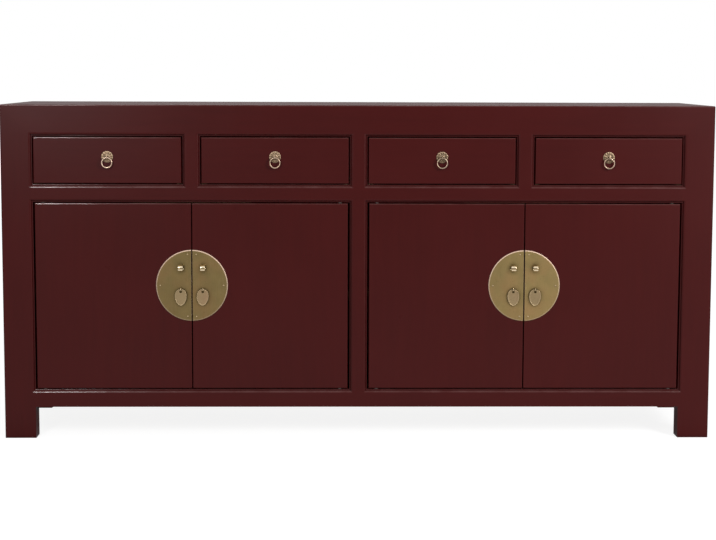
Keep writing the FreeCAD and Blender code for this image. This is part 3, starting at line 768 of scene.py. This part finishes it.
def dress(node: str, material: Material) -> None:
    """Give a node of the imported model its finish.

    Args:
        node: Name of the node.
        material: The finish.
    """
    mesh = frame["nodes"][node].data
    mesh.materials.clear()
    mesh.materials.append(material)
    log.info("%s is dressed in %s", node, material.name)


@dataclass(frozen=True)
class SplitPin:
    """Pin of bent wire: an eye for a ring or a pull, two legs and tails turned over behind.

    The bend is given in shares of a leg's radius, as how far behind the tail's middle and how
    far from the pin's axis each point lies, and the taper as shares of that radius.
    """

    eye: float
    wire: float
    reach: float
    leg_share: float = 0.72
    bend_shares: Tuple[Pair, ...] = ((0.0, 3.0), (-0.3, 1.7), (-1.4, 1.0))
    taper_shares: Pair = (0.35, 0.8)
    turns: int = 30

    def add(self, shape: Shape, centre: Vector, board_back: float) -> None:
        """Add the pin to a shape.

        Args:
            shape: The shape.
            centre: Middle of the eye.
            board_back: How far back the board goes that the legs pass through.
        """
        leg = self.wire * self.leg_share
        middle = self.eye + self.wire
        open_angle = asin(leg / middle)
        tail = board_back + leg
        line = [(tail, self.reach), (tail, self.reach - leg)]
        line += [(tail + back * leg, out * leg) for back, out in self.bend_shares]
        radii = [share * leg for share in self.taper_shares] + [leg] * len(self.bend_shares)
        loop = [open_angle + (tau - 2 * open_angle) * k / self.turns
                for k in range(self.turns + 1)]
        points = [Vector((0, y - centre.y, z)) for y, z in line]
        points += [middle * Vector((0, cos(a), sin(a))) for a in loop]
        points += [Vector((0, y - centre.y, -z)) for y, z in reversed(line)]
        shape.tube([centre + point for point in points],
                   radii + [self.wire] * len(loop) + radii[::-1])


class Fittings:
    """Brass that the body of one door or drawer carries."""

    body: str
    first_seed = 0
    seed_step = 10

    def fit(self, shape: Shape, name: str, material: Material, node: str,
            mover: str = "") -> None:
        """Make a piece that stands for one of the body's nodes.

        Args:
            shape: Its shape.
            name: What it is, as the end of its name.
            material: Its finish.
            node: The end of the node's name.
            mover: The end of the name of the moving body that carries it, if not the door or
                drawer itself.
        """
        piece = shape.object("%s_%s" % (self.body, name), material)
        mount(piece, self.body + mover, "brass", "%s_%s" % (self.body, node))


@dataclass
class Door(Fittings):
    """Brass on one door: half of a moon plate, its nails, a lock eye, a split pin and a pull.

    The rim gives how far each point lies in from the edge and out of the door, in millimetres.
    The pull's profile gives how far each point lies in from the outline, in millimetres, and
    how far behind the middle, in shares of the half thickness. Its dish goes on in shares of
    the way out from the hole.
    """

    number: int
    pull_lean: float = 0.0
    tone: float = 1.0
    plate_radius: float = 91 * MM
    plate_steps: int = 90
    rim: Profile = ((0.0, 0.0), (0.0, 0.55), (0.15, 0.9), (0.5, 1.28), (1.0, 1.62), (1.6, 1.93),
                    (2.2, 2.12), (2.8, 2.2), (4.4, 2.2))
    field_shares: Tuple[float, ...] = (0.93, 0.9, 0.85, 0.8, 0.74, 0.68, 0.6, 0.52, 0.44, 0.35,
                                       0.26, 0.18, 0.11, 0.06, 0.035)
    chord_bevel: float = 0.35 * MM
    waviness: float = 0.10 * MM
    waves_per_metre: float = 28.0
    nail_circle: float = 80 * MM
    nail_angles: Tuple[float, ...] = (-82, 0, 82)
    nail_head: Pair = (2.2 * MM, 1.1 * MM)
    nail_length: float = 12 * MM
    nail_point: float = 2 * MM
    nail_shank: float = 0.8 * MM
    nail_sink: float = 0.2 * MM
    nail_dome: range = range(90, -1, -15)
    eye_inner: float = 5.0 * MM
    eye_wall: float = 2.8 * MM
    eye_width: float = 12 * MM
    eye_crown: float = 0.12 * MM
    eye_power: float = 0.30
    eye_steps: Tuple[int, int] = (72, 20)
    leg_half: Pair = (3.0 * MM, 1.0 * MM)
    leg_bend_shares: Profile = ((-2.2, 1.0), (-0.8, 1.5), (0.0, 3.0))
    leg_width_shares: Tuple[float, ...] = (1, 1, 1, 1, 0.9, 0.35)
    leg_flat_share: float = 0.8
    tail_reach: float = 16 * MM
    pin: SplitPin = SplitPin(2.4 * MM, 0.9 * MM, 10 * MM)
    pull_size: Pair = (30 * MM, 42 * MM)
    pull_steps: int = 96
    pull_swell: float = 0.13
    pull_trim_share: float = 1 / 15
    pull_shoulder: float = 0.84
    pull_half_thickness: float = 1.2 * MM
    pull_head: float = 0.6 * MM
    pull_bridge: float = 2.5 * MM
    pull_hole: float = 3.6 * MM
    pull_profile: Profile = ((0.5, 1.0), (0.12, 0.8), (0.0, 0.55), (0.0, -0.45), (0.12, -0.75),
                             (0.45, -1.0), (0.85, -1.1), (1.2, -1.0), (1.55, -0.78),
                             (2.1, -0.72))
    pull_inset_share: float = 0.42
    pull_dish_shares: Profile = ((0.5, -0.70), (0.2, -0.76), (0.06, -0.86), (0.0, -0.80),
                                 (0.0, 0.75), (0.06, 1.0))

    def __post_init__(self) -> None:
        """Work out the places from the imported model."""
        self.body = "door_%d" % self.number
        low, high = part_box(self.body + "_face_plate")
        self.side = -1 if self.number % 2 else 1
        self.middle_x = low.x + self.plate_radius if self.side < 0 else high.x - self.plate_radius
        self.chord = self.middle_x - high.x if self.side < 0 else low.x - self.middle_x
        self.plate = Vector((self.middle_x, high.y, (low.z + high.z) / 2))
        self.plate_front = low.y
        self.board_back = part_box(self.body + "_split_pins")[1].y - 2 * self.pin.wire
        low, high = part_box(self.body + "_pull")
        self.pull_axis = Vector(((low.x + high.x) / 2, (low.y + high.y) / 2,
                                 high.z - self.pull_head))

    def build(self, brass: Brass) -> None:
        """Build the fittings.

        Args:
            brass: The finish.
        """
        seed = self.first_seed + self.seed_step * self.number
        plate = brass.material(self.body + "_plate_brass", BrassTone.PLATE, seed, self.tone,
                               brushing=0.4)
        small = brass.material(self.body + "_small_brass", BrassTone.EYE, seed + 1, brushing=0.3)
        drop = brass.material(self.body + "_pull_brass", BrassTone.PULL, seed + 2, brushing=0.5)
        self.fit(self.moon_plate(), "moon_plate", plate, "face_plate")
        self.fit(self.nails(), "nail_heads", drop, "plate_nails")
        self.fit(self.lock_eye(), "lock_eye", small, "split_pins")
        pin = Shape()
        self.pin.add(pin, self.pull_axis, self.board_back)
        self.fit(pin, "pull_pin", small, "split_pins")
        self.fit(self.drop_pull(), "drop_pull", drop, "pull", "_pull")

    def moon_plate(self) -> Shape:
        """Half of the round plate: a beaded rim on its arc, a plain bevelled edge on the joint.

        Returns:
            The shape.
        """
        profile = [(self.plate_radius - inset * MM, lift * MM) for inset, lift in self.rim]
        lift = profile[-1][1]
        profile += [(self.plate_radius * share, lift) for share in self.field_shares]
        profile.append((self.chord + self.chord_bevel, lift))
        shape = Shape()
        shape.surface([self.plate_row(radius, 0) for radius, _ in reversed(profile)]
                      + [self.plate_row(radius, lift) for radius, lift in profile])
        return shape

    def plate_row(self, radius: float, lift: float) -> List[Vector]:
        """Points of the plate at one distance from its middle, from the joint round to the joint.

        Args:
            radius: The distance.
            lift: How far the row stands off the door.

        Returns:
            The points.
        """
        turn = acos(min(1.0, (self.chord + self.chord_bevel) / radius))
        angles = [turn - 2 * turn * k / self.plate_steps for k in range(self.plate_steps + 1)]
        arc = [Vector((self.side * radius * cos(angle), 0, radius * sin(angle)))
               for angle in angles]
        shift = Vector((self.number, 0, 0))
        row = []
        for point in arc:
            wave = self.waviness * noise.noise(point * self.waves_per_metre + shift)
            height = lift + (wave if lift > self.chord_bevel else 0)
            row.append(point + Vector((0, -height, 0)))
        joint = self.side * self.chord
        bevelled = max(0.0, lift - self.chord_bevel)
        top, low = arc[0].z, arc[-1].z
        row = ([Vector((joint, 0, top)), Vector((joint, -bevelled, top))] + row
               + [Vector((joint, -bevelled, low)), Vector((joint, 0, low))])
        return [self.plate + point for point in row]

    def nails(self) -> Shape:
        """Nails with low domed heads, just inside the rim.

        Returns:
            The shape.
        """
        shape = Shape()
        radius, height = self.nail_head
        profile = [(0.0, -self.nail_length),
                   (self.nail_shank, self.nail_point - self.nail_length),
                   (self.nail_shank, -self.nail_sink), (radius, -self.nail_sink)]
        profile += dome(radius, height, self.nail_dome)
        for turn in map(radians, self.nail_angles):
            shape.lathe(Vector((self.plate.x + self.side * self.nail_circle * cos(turn),
                                self.plate_front,
                                self.plate.z + self.nail_circle * sin(turn))), profile)
        return shape

    def lock_eye(self) -> Shape:
        """Broad ring for the bar of a padlock, with two flat legs turned over behind the door.

        Returns:
            The shape.
        """
        shape = Shape()
        low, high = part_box(self.body + "_split_pins")
        outer = self.eye_inner + self.eye_wall
        centre = Vector((self.pull_axis.x, low.y + outer, high.z - self.tail_reach))
        half, thick = self.eye_width / 2, self.eye_wall / 2
        section = []
        for phi in angles_round(self.eye_steps[1]):
            across = half * copysign(abs(cos(phi)) ** self.eye_power, cos(phi))
            out = thick * copysign(abs(sin(phi)) ** self.eye_power, sin(phi))
            if out > 0:
                out -= self.eye_crown * (across / half) ** 2
            section.append((across, self.eye_inner + thick + out))
        shape.surface([[centre + Vector((across, radius * cos(beta), radius * sin(beta)))
                        for across, radius in section]
                       for beta in angles_round(self.eye_steps[0])], around=True, again=True)
        for way in (-1, 1):
            rows = self.leg_rows(centre, way)
            ends = [[sum(row, Vector()) / len(row)] * len(row) for row in (rows[0], rows[-1])]
            shape.surface([ends[0]] + rows + [ends[1]], around=True)
        return shape

    def leg_rows(self, centre: Vector, way: int) -> Grid:
        """Rows of four corners along one flat leg of the lock eye, to its turned-over end.

        Args:
            centre: Middle of the eye.
            way: Whether the leg turns up, 1, or down, -1.

        Returns:
            The rows.
        """
        broad, thin = self.leg_half
        tail = self.board_back + thin
        path = [(centre.y + self.eye_inner + self.eye_wall / 2, thin)]
        path += [(tail + back * thin, out * thin) for back, out in self.leg_bend_shares]
        path += [(tail, self.tail_reach - path[-1][1]), (tail, self.tail_reach)]
        points = [Vector((centre.x, y, centre.z + way * z)) for y, z in path]
        rows = []
        for k, width in enumerate(self.leg_width_shares):
            run = (points[min(len(path) - 1, k + 1)] - points[max(0, k - 1)]).normalized()
            normal = self.leg_flat_share * thin * Vector((0, -run.z, run.y))
            across = Vector((broad * width, 0, 0))
            rows.append([points[k] + a * across + b * normal
                         for a, b in ((1, 1), (-1, 1), (-1, -1), (1, -1))])
        return rows

    def drop_pull(self) -> Shape:
        """Egg-shaped drop: a bead round its outline, a dished face and a hole at its head.

        Returns:
            The shape.
        """
        width, length = self.pull_size
        top = self.pull_axis.z + self.pull_head
        hole = Vector((self.pull_axis.x, self.pull_axis.y,
                       top - self.pull_bridge - self.pull_hole))
        rays = []
        for phi in angles_round(self.pull_steps):
            broad = abs(sin(phi)) ** (self.pull_shoulder if cos(phi) > 0 else 1.0)
            across = copysign(width / 2 * broad, sin(phi)) * (1 + self.pull_swell * cos(phi))
            across /= 1 + self.pull_swell * self.pull_trim_share
            edge = Vector((self.pull_axis.x + across, hole.y, top - length * (1 - cos(phi)) / 2))
            rays.append(((edge - hole).length, (edge - hole).normalized()))
        rows = []
        for inset, behind in self.pull_profile:
            rows.append([(reach - self.held_inset(inset, reach), behind, way)
                         for reach, way in rays])
        widest = self.pull_profile[-1][0]
        for share, behind in self.pull_dish_shares:
            row = []
            for reach, way in rays:
                start = reach - self.held_inset(widest, reach)
                row.append((self.pull_hole + share * (start - self.pull_hole), behind, way))
            rows.append(row)
        lean = Matrix.Rotation(radians(self.pull_lean), 4, "Y")
        hang = hole - self.pull_axis
        back = Vector((0, self.pull_half_thickness, 0))
        shape = Shape()
        shape.surface([[self.pull_axis + lean @ (hang + reach * way + behind * back)
                        for reach, behind, way in row] for row in rows],
                      around=True, again=True)
        return shape

    def held_inset(self, inset: float, reach: float) -> float:
        """Inset in metres of one in millimetres, held back where the hole is near the edge."""
        return min(inset * MM, self.pull_inset_share * (reach - self.pull_hole))


@dataclass
class Drawer(Fittings):
    """Brass on one drawer: a rosette like a flower, a split pin and the ring that it holds.

    The rosette's profile gives shares: of its radius, of its height, and of a petal's depth.
    """

    first_seed = 100
    number: int
    tone: float = 1.0
    petals: int = 12
    steps_per_petal: int = 12
    scallop: float = 0.055
    scallop_start: float = 0.5
    scallop_full: float = 0.8
    petal_power: float = 0.6
    petal_depth: float = 0.24
    rosette_height: float = 3.2 * MM
    rosette_profile: Tuple[Triple, ...] = (
        (1.0, 0.0, 0.0), (1.0, 0.16, 0.0), (0.985, 0.26, 0.1), (0.95, 0.33, 0.35),
        (0.90, 0.38, 0.6), (0.82, 0.42, 0.9), (0.72, 0.44, 1.0), (0.62, 0.44, 0.9),
        (0.55, 0.42, 0.6), (0.50, 0.40, 0.2), (0.47, 0.40, 0.0), (0.44, 0.46, 0.0),
        (0.41, 0.58, 0.0), (0.36, 0.72, 0.0), (0.28, 0.86, 0.0), (0.18, 0.96, 0.0),
        (0.08, 1.0, 0.0), (0.0, 1.0, 0.0))
    pin: SplitPin = SplitPin(2.6 * MM, 1.1 * MM, 10 * MM)
    ring_wire: Pair = (1.5 * MM, 1.75 * MM)
    ring_power: float = 1.6
    ring_steps: Tuple[int, int] = (96, 20)

    def __post_init__(self) -> None:
        """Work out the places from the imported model."""
        self.body = "drawer_%d" % self.number
        low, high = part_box(self.body + "_rosette")
        self.rosette = Vector(((low.x + high.x) / 2, high.y, (low.z + high.z) / 2))
        self.rosette_radius = (high.x - low.x) / 2
        low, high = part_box(self.body + "_ring_pin")
        self.board_back = high.y - 2 * self.pin.wire
        self.eye = Vector((self.rosette.x, low.y + self.pin.eye + 2 * self.pin.wire,
                           (low.z + high.z) / 2))

    def build(self, brass: Brass) -> None:
        """Build the fittings.

        Args:
            brass: The finish.
        """
        seed = self.first_seed + self.seed_step * self.number
        flat = brass.material(self.body + "_rosette_brass", BrassTone.ROSETTE, seed, self.tone,
                              brushing=0.4)
        wire = brass.material(self.body + "_ring_brass", BrassTone.RING, seed + 1, self.tone,
                              brushing=0.2)
        self.fit(self.flower(), "flower_rosette", flat, "rosette")
        pin = Shape()
        self.pin.add(pin, self.eye, self.board_back)
        self.fit(pin, "split_pin", wire, "ring_pin")
        self.fit(self.pull_ring(), "pull_ring", wire, "ring", "_ring")

    def flower(self) -> Shape:
        """Rosette pressed from sheet: shallow petals round a low boss.

        Returns:
            The shape.
        """
        shape = Shape()
        turns = angles_round(self.steps_per_petal * self.petals)
        rows = [[self.rosette] * len(turns)]
        for share, lift, petal in self.rosette_profile:
            pinched = (share - self.scallop_start) / (self.scallop_full - self.scallop_start)
            pinched = self.scallop * min(1.0, max(0.0, pinched))
            row = []
            for turn in turns:
                lobe = abs(sin(self.petals * turn / 2)) ** self.petal_power
                reach = self.rosette_radius * share * (1 - pinched * (1 - lobe))
                height = self.rosette_height * (
                    lift + self.petal_depth * petal * (lobe - self.petal_power))
                row.append(self.rosette + Vector((reach * cos(turn), -height, reach * sin(turn))))
            rows.append(row)
        shape.surface(rows, around=True)
        return shape

    def pull_ring(self) -> Shape:
        """Ring that is thicker at its foot, where a finger takes it.

        Returns:
            The shape.
        """
        shape = Shape()
        low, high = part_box(self.body + "_ring")
        radius = (high.x - low.x) / 2 - (high.y - low.y) / 2
        thin, thick = self.ring_wire
        turns = angles_round(self.ring_steps[0])
        path = [(low + high) / 2 + radius * Vector((cos(turn), 0, sin(turn))) for turn in turns]
        radii = [thin + (thick - thin) * max(0.0, -sin(turn)) ** self.ring_power
                 for turn in turns]
        shape.tube(path, radii, steps=self.ring_steps[1], closed=True)
        return shape


@dataclass
class BackNails:
    """Small round-headed nails that hold the back panels to their frame."""

    pitch: float = 95 * MM
    inset: float = 7 * MM
    sink: float = 0.1 * MM
    head: Pair = (2.6 * MM, 0.9 * MM)
    head_dome: range = range(90, 9, -20)
    head_steps: int = 12

    def build(self, material: Material) -> None:
        """Build the nails.

        Args:
            material: Their finish.
        """
        shape = Shape()
        radius, height = self.head
        profile = [(0.0, 0.0), *dome(radius, -height, self.head_dome), (0.0, -height)]
        points = [vertex.co for vertex in frame["nodes"]["back_panels"].data.vertices]
        for side in (-1, 1):
            own = [point for point in points if side * point.x > 0]
            low = Vector([min(point[axis] for point in own) for axis in range(3)])
            high = Vector([max(point[axis] for point in own) for axis in range(3)])
            x0, x1 = low.x + self.inset, high.x - self.inset
            z0, z1 = low.z + self.inset, high.z - self.inset
            across = round((x1 - x0) / self.pitch)
            up = round((z1 - z0) / self.pitch)
            places = [(x0 + (x1 - x0) * k / across, z) for k in range(across + 1)
                      for z in (z0, z1)]
            places += [(x, z0 + (z1 - z0) * k / up) for k in range(1, up) for x in (x0, x1)]
            for x, z in places:
                shape.lathe(Vector((x, high.y - self.sink, z)), profile, self.head_steps)
        mount(shape.object("back_panel_nails", material), "cabinet", "pin_steel")


@dataclass
class Woodwork:
    """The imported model's own wooden pieces, each with the grain that its maker would choose."""

    lacquer: Lacquer
    inner: InnerWood
    upright: Tuple[str, ...] = ("front_post_left", "front_post_right", "back_post_left",
                                "back_post_right", "front_stiles", "side_panel_left",
                                "side_panel_right", "centre_partition")
    front_to_back: Tuple[str, ...] = ("side_rails", "drawer_runners", "inner_battens")
    # Strength of the painted highlight and coat on upper arrises at the left end: for door leaves
    # and drawer fronts, and for the other pieces.
    front_left_highlight: float = 1.0
    frame_left_highlight: float = 0.45

    def build(self, steel: Material) -> None:
        """Dress every piece that stays as it was packed.

        Args:
            steel: Finish of the pivot pins.
        """
        for seed, part in enumerate(frame["record"]["subparts"]):
            node, slot = part["node"], part["material_slot"]
            grain = Grain.ALONG_X
            if node in self.upright or node.endswith("_leaf"):
                grain = Grain.ALONG_Z
            elif node in self.front_to_back or node.endswith("_box"):
                grain = Grain.ALONG_Y
            if slot == "lacquer":
                front_piece = node.endswith(("_leaf", "_front"))
                left_highlight = self.front_left_highlight if front_piece else self.frame_left_highlight
                dress(node, self.lacquer.material(node + "_lacquer", grain, seed, left_highlight))
            elif slot == "inner_wood":
                dress(node, self.inner.material(node + "_wood", grain, seed))
            elif slot == "pin_steel":
                dress(node, steel)


@dataclass(frozen=True)
class Lamp:
    """Soft rectangular lamp that the camera doesn't see, with its power in watts."""

    name: str
    place: Triple
    aim: Triple
    size: Pair
    power: float

    def hang(self) -> None:
        """Add the lamp to the scene."""
        data = bpy.data.lights.new(self.name, "AREA")
        data.shape = "RECTANGLE"
        data.size, data.size_y = self.size
        data.energy = self.power
        lamp = bpy.data.objects.new(self.name, data)
        lamp.location = self.place
        way = Vector(self.aim) - Vector(self.place)
        lamp.rotation_euler = way.to_track_quat("-Z", "Y").to_euler()
        lamp.visible_camera = False
        bpy.context.scene.collection.objects.link(lamp)


@dataclass
class Studio:
    """Pale floor, soft lamps, plain world and the camera of the photograph.

    The floor glows to the camera by its distance from the middle, and to gloss by its place
    along y, apart from the shaded ground under the cabinet. The world looks darker to gloss
    from in front and low down.
    """

    floor_half: float = 14.0
    floor_colour: Colour = (0.30, 0.30, 0.30)
    mottle_scale: float = 3.0
    mottle_span: Span = (0.3, 0.7, 0.0, 1.0)
    mottle_gain: float = 0.97
    floor_edge: Pair = (1.3, 3.0)
    floor_eye_glow: Pair = (0.86, 0.92)
    floor_fade: Pair = (-3.2, -1.3)
    floor_gloss_glow: Pair = (0.456, 0.76)
    shaded_half_width: Span = (0.80, 1.0, 1.0, 0.0)
    shaded_front: Span = (-0.35, -0.15, 0.0, 0.9)
    shaded_back: Span = (0.35, 0.8, 1.0, 0.0)
    world_light: float = 0.38
    world_front: Span = (-0.15, -0.7, 0.0, 0.5)
    world_low: Span = (0.42, 0.66, 1.0, 0.0)
    lamps: Tuple[Lamp, ...] = (
        Lamp("key_lamp", (2.3, -2.5, 1.8), (0.5, -0.2, 0.45), (1.0, 1.0), 67),
        Lamp("side_panel_lamp", (1.9, -2.6, 0.9), (0.8, -0.2, 0.45), (0.7, 1.3), 4),
        Lamp("corner_lamp", (-1.33, -2.9, 1.75), (-0.6, -0.2, 0.6), (0.2, 1.9), 33))
    camera_place: Triple = (-0.0634, -3.9766, 0.9343)
    camera_yaw: float = 0.01637
    camera_pitch: float = -0.0923
    camera_roll: float = 0.0031
    camera_sensor: float = 36.0
    camera_lens: float = 75.63
    camera_shift: float = -0.0827

    def build(self) -> None:
        """Build the whole studio."""
        self.floor()
        self.world()
        for lamp in self.lamps:
            lamp.hang()
        self.camera()
        log.info("studio: floor, world, lamps and camera")

    def background(self, graph: Graph) -> Socket:
        """Mask of the rays that see the plain background: the camera's, and gloss and glass.

        Args:
            graph: The graph to add it to.

        Returns:
            The socket with the mask.
        """
        path = graph.add("LightPath").outputs
        seen = graph.maths("MAXIMUM", path["Is Camera Ray"], path["Is Glossy Ray"])
        return graph.maths("MAXIMUM", seen, path["Is Transmission Ray"])

    def floor(self) -> None:
        """Lay the floor, which keeps the cabinet's shadow."""
        shape = Shape()
        ends = (-self.floor_half, self.floor_half)
        shape.surface([[Vector((x, y, 0)) for x in ends] for y in ends])
        coat = Coat("floor_paper")
        graph = coat.graph
        mottle = graph.remap(graph.noise(coat.place, self.mottle_scale), *self.mottle_span)
        tone = graph.layers(rgba(self.floor_colour),
                            (mottle, self.floor_colour, self.mottle_gain))
        place = graph.add("TexCoord").outputs["Object"]
        reach = graph.add("VectorMath", {0: place}, operation="LENGTH").outputs["Value"]
        to_eye = graph.remap(reach, *self.floor_edge, *self.floor_eye_glow)
        along = graph.add("SeparateXYZ", {0: place}).outputs
        aside = graph.remap(graph.maths("ABSOLUTE", along["X"]), *self.shaded_half_width)
        ahead = graph.remap(along["Y"], *self.shaded_front)
        behind = graph.remap(along["Y"], *self.shaded_back)
        under = graph.maths("MULTIPLY", aside, graph.maths("MULTIPLY", ahead, behind))
        to_gloss = graph.remap(along["Y"], *self.floor_fade, *self.floor_gloss_glow)
        to_gloss = graph.maths("MULTIPLY", to_gloss, graph.maths("SUBTRACT", 1.0, under))
        from_eye = graph.add("LightPath").outputs["Is Camera Ray"]
        seen = graph.maths("MULTIPLY_ADD", from_eye, graph.maths("SUBTRACT", to_eye, to_gloss),
                           to_gloss)
        glow = graph.maths("MULTIPLY", self.background(graph), seen)
        paper = coat.finish(Base_Color=tone, Roughness=0.9, Specular_IOR_Level=0.1,
                            Emission_Color=(1, 1, 1, 1), Emission_Strength=glow)
        shape.object("floor", paper)

    def world(self) -> None:
        """Light from all round, seen as white, which gloss sees dim low down in front."""
        world = bpy.data.worlds.new("studio_white")
        bpy.context.scene.world = world
        world.use_nodes = True
        graph = Graph(world.node_tree)
        way = graph.add("SeparateXYZ", {0: graph.add("TexCoord").outputs["Generated"]}).outputs
        front = graph.remap(way["Y"], *self.world_front)
        low = graph.remap(way["Z"], *self.world_low)
        from_eye = graph.add("LightPath").outputs["Is Camera Ray"]
        dip = graph.maths("MULTIPLY", graph.maths("MULTIPLY", front, low),
                          graph.maths("SUBTRACT", 1.0, from_eye))
        seen = graph.maths("SUBTRACT", 1.0 - self.world_light, dip)
        strength = graph.maths("MULTIPLY_ADD", self.background(graph), seen, self.world_light)
        white = graph.add("Background", {"Color": (1, 1, 1, 1), "Strength": strength})
        graph.add("OutputWorld", {0: white.outputs[0]})

    def camera(self) -> None:
        """Set the camera up at the photograph's place."""
        data = bpy.data.cameras.new("camera")
        data.sensor_width = self.camera_sensor
        data.lens = self.camera_lens
        data.shift_y = self.camera_shift
        camera = bpy.data.objects.new("camera", data)
        turn = (Matrix.Rotation(-self.camera_yaw, 4, "Z")
                @ Matrix.Rotation(self.camera_pitch, 4, "X")
                @ Matrix.Rotation(-self.camera_roll, 4, "Y")
                @ Matrix.Rotation(pi / 2, 4, "X"))
        camera.matrix_world = Matrix.Translation(self.camera_place) @ turn
        bpy.context.scene.collection.objects.link(camera)
        bpy.context.scene.camera = camera


def main() -> None:
    """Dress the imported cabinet, add its fine pieces and set up the studio."""
    logging.basicConfig(level=logging.INFO, format="%(name)s: %(message)s")
    bpy.context.scene.view_settings.view_transform = "Standard"
    effects = Effects()
    brass = Brass(effects)
    steel = TurnedSteel(effects).material("turned_steel")
    Woodwork(Lacquer(effects), InnerWood(effects)).build(steel)
    BackNails().build(steel)
    for number, (lean, tone) in enumerate(zip(DOOR_PULL_LEANS, DOOR_TONES), 1):
        Door(number, lean, tone).build(brass)
    for number, tone in enumerate(DRAWER_TONES, 1):
        Drawer(number, tone).build(brass)
    Studio().build()


if __name__ == "__main__":
    main()
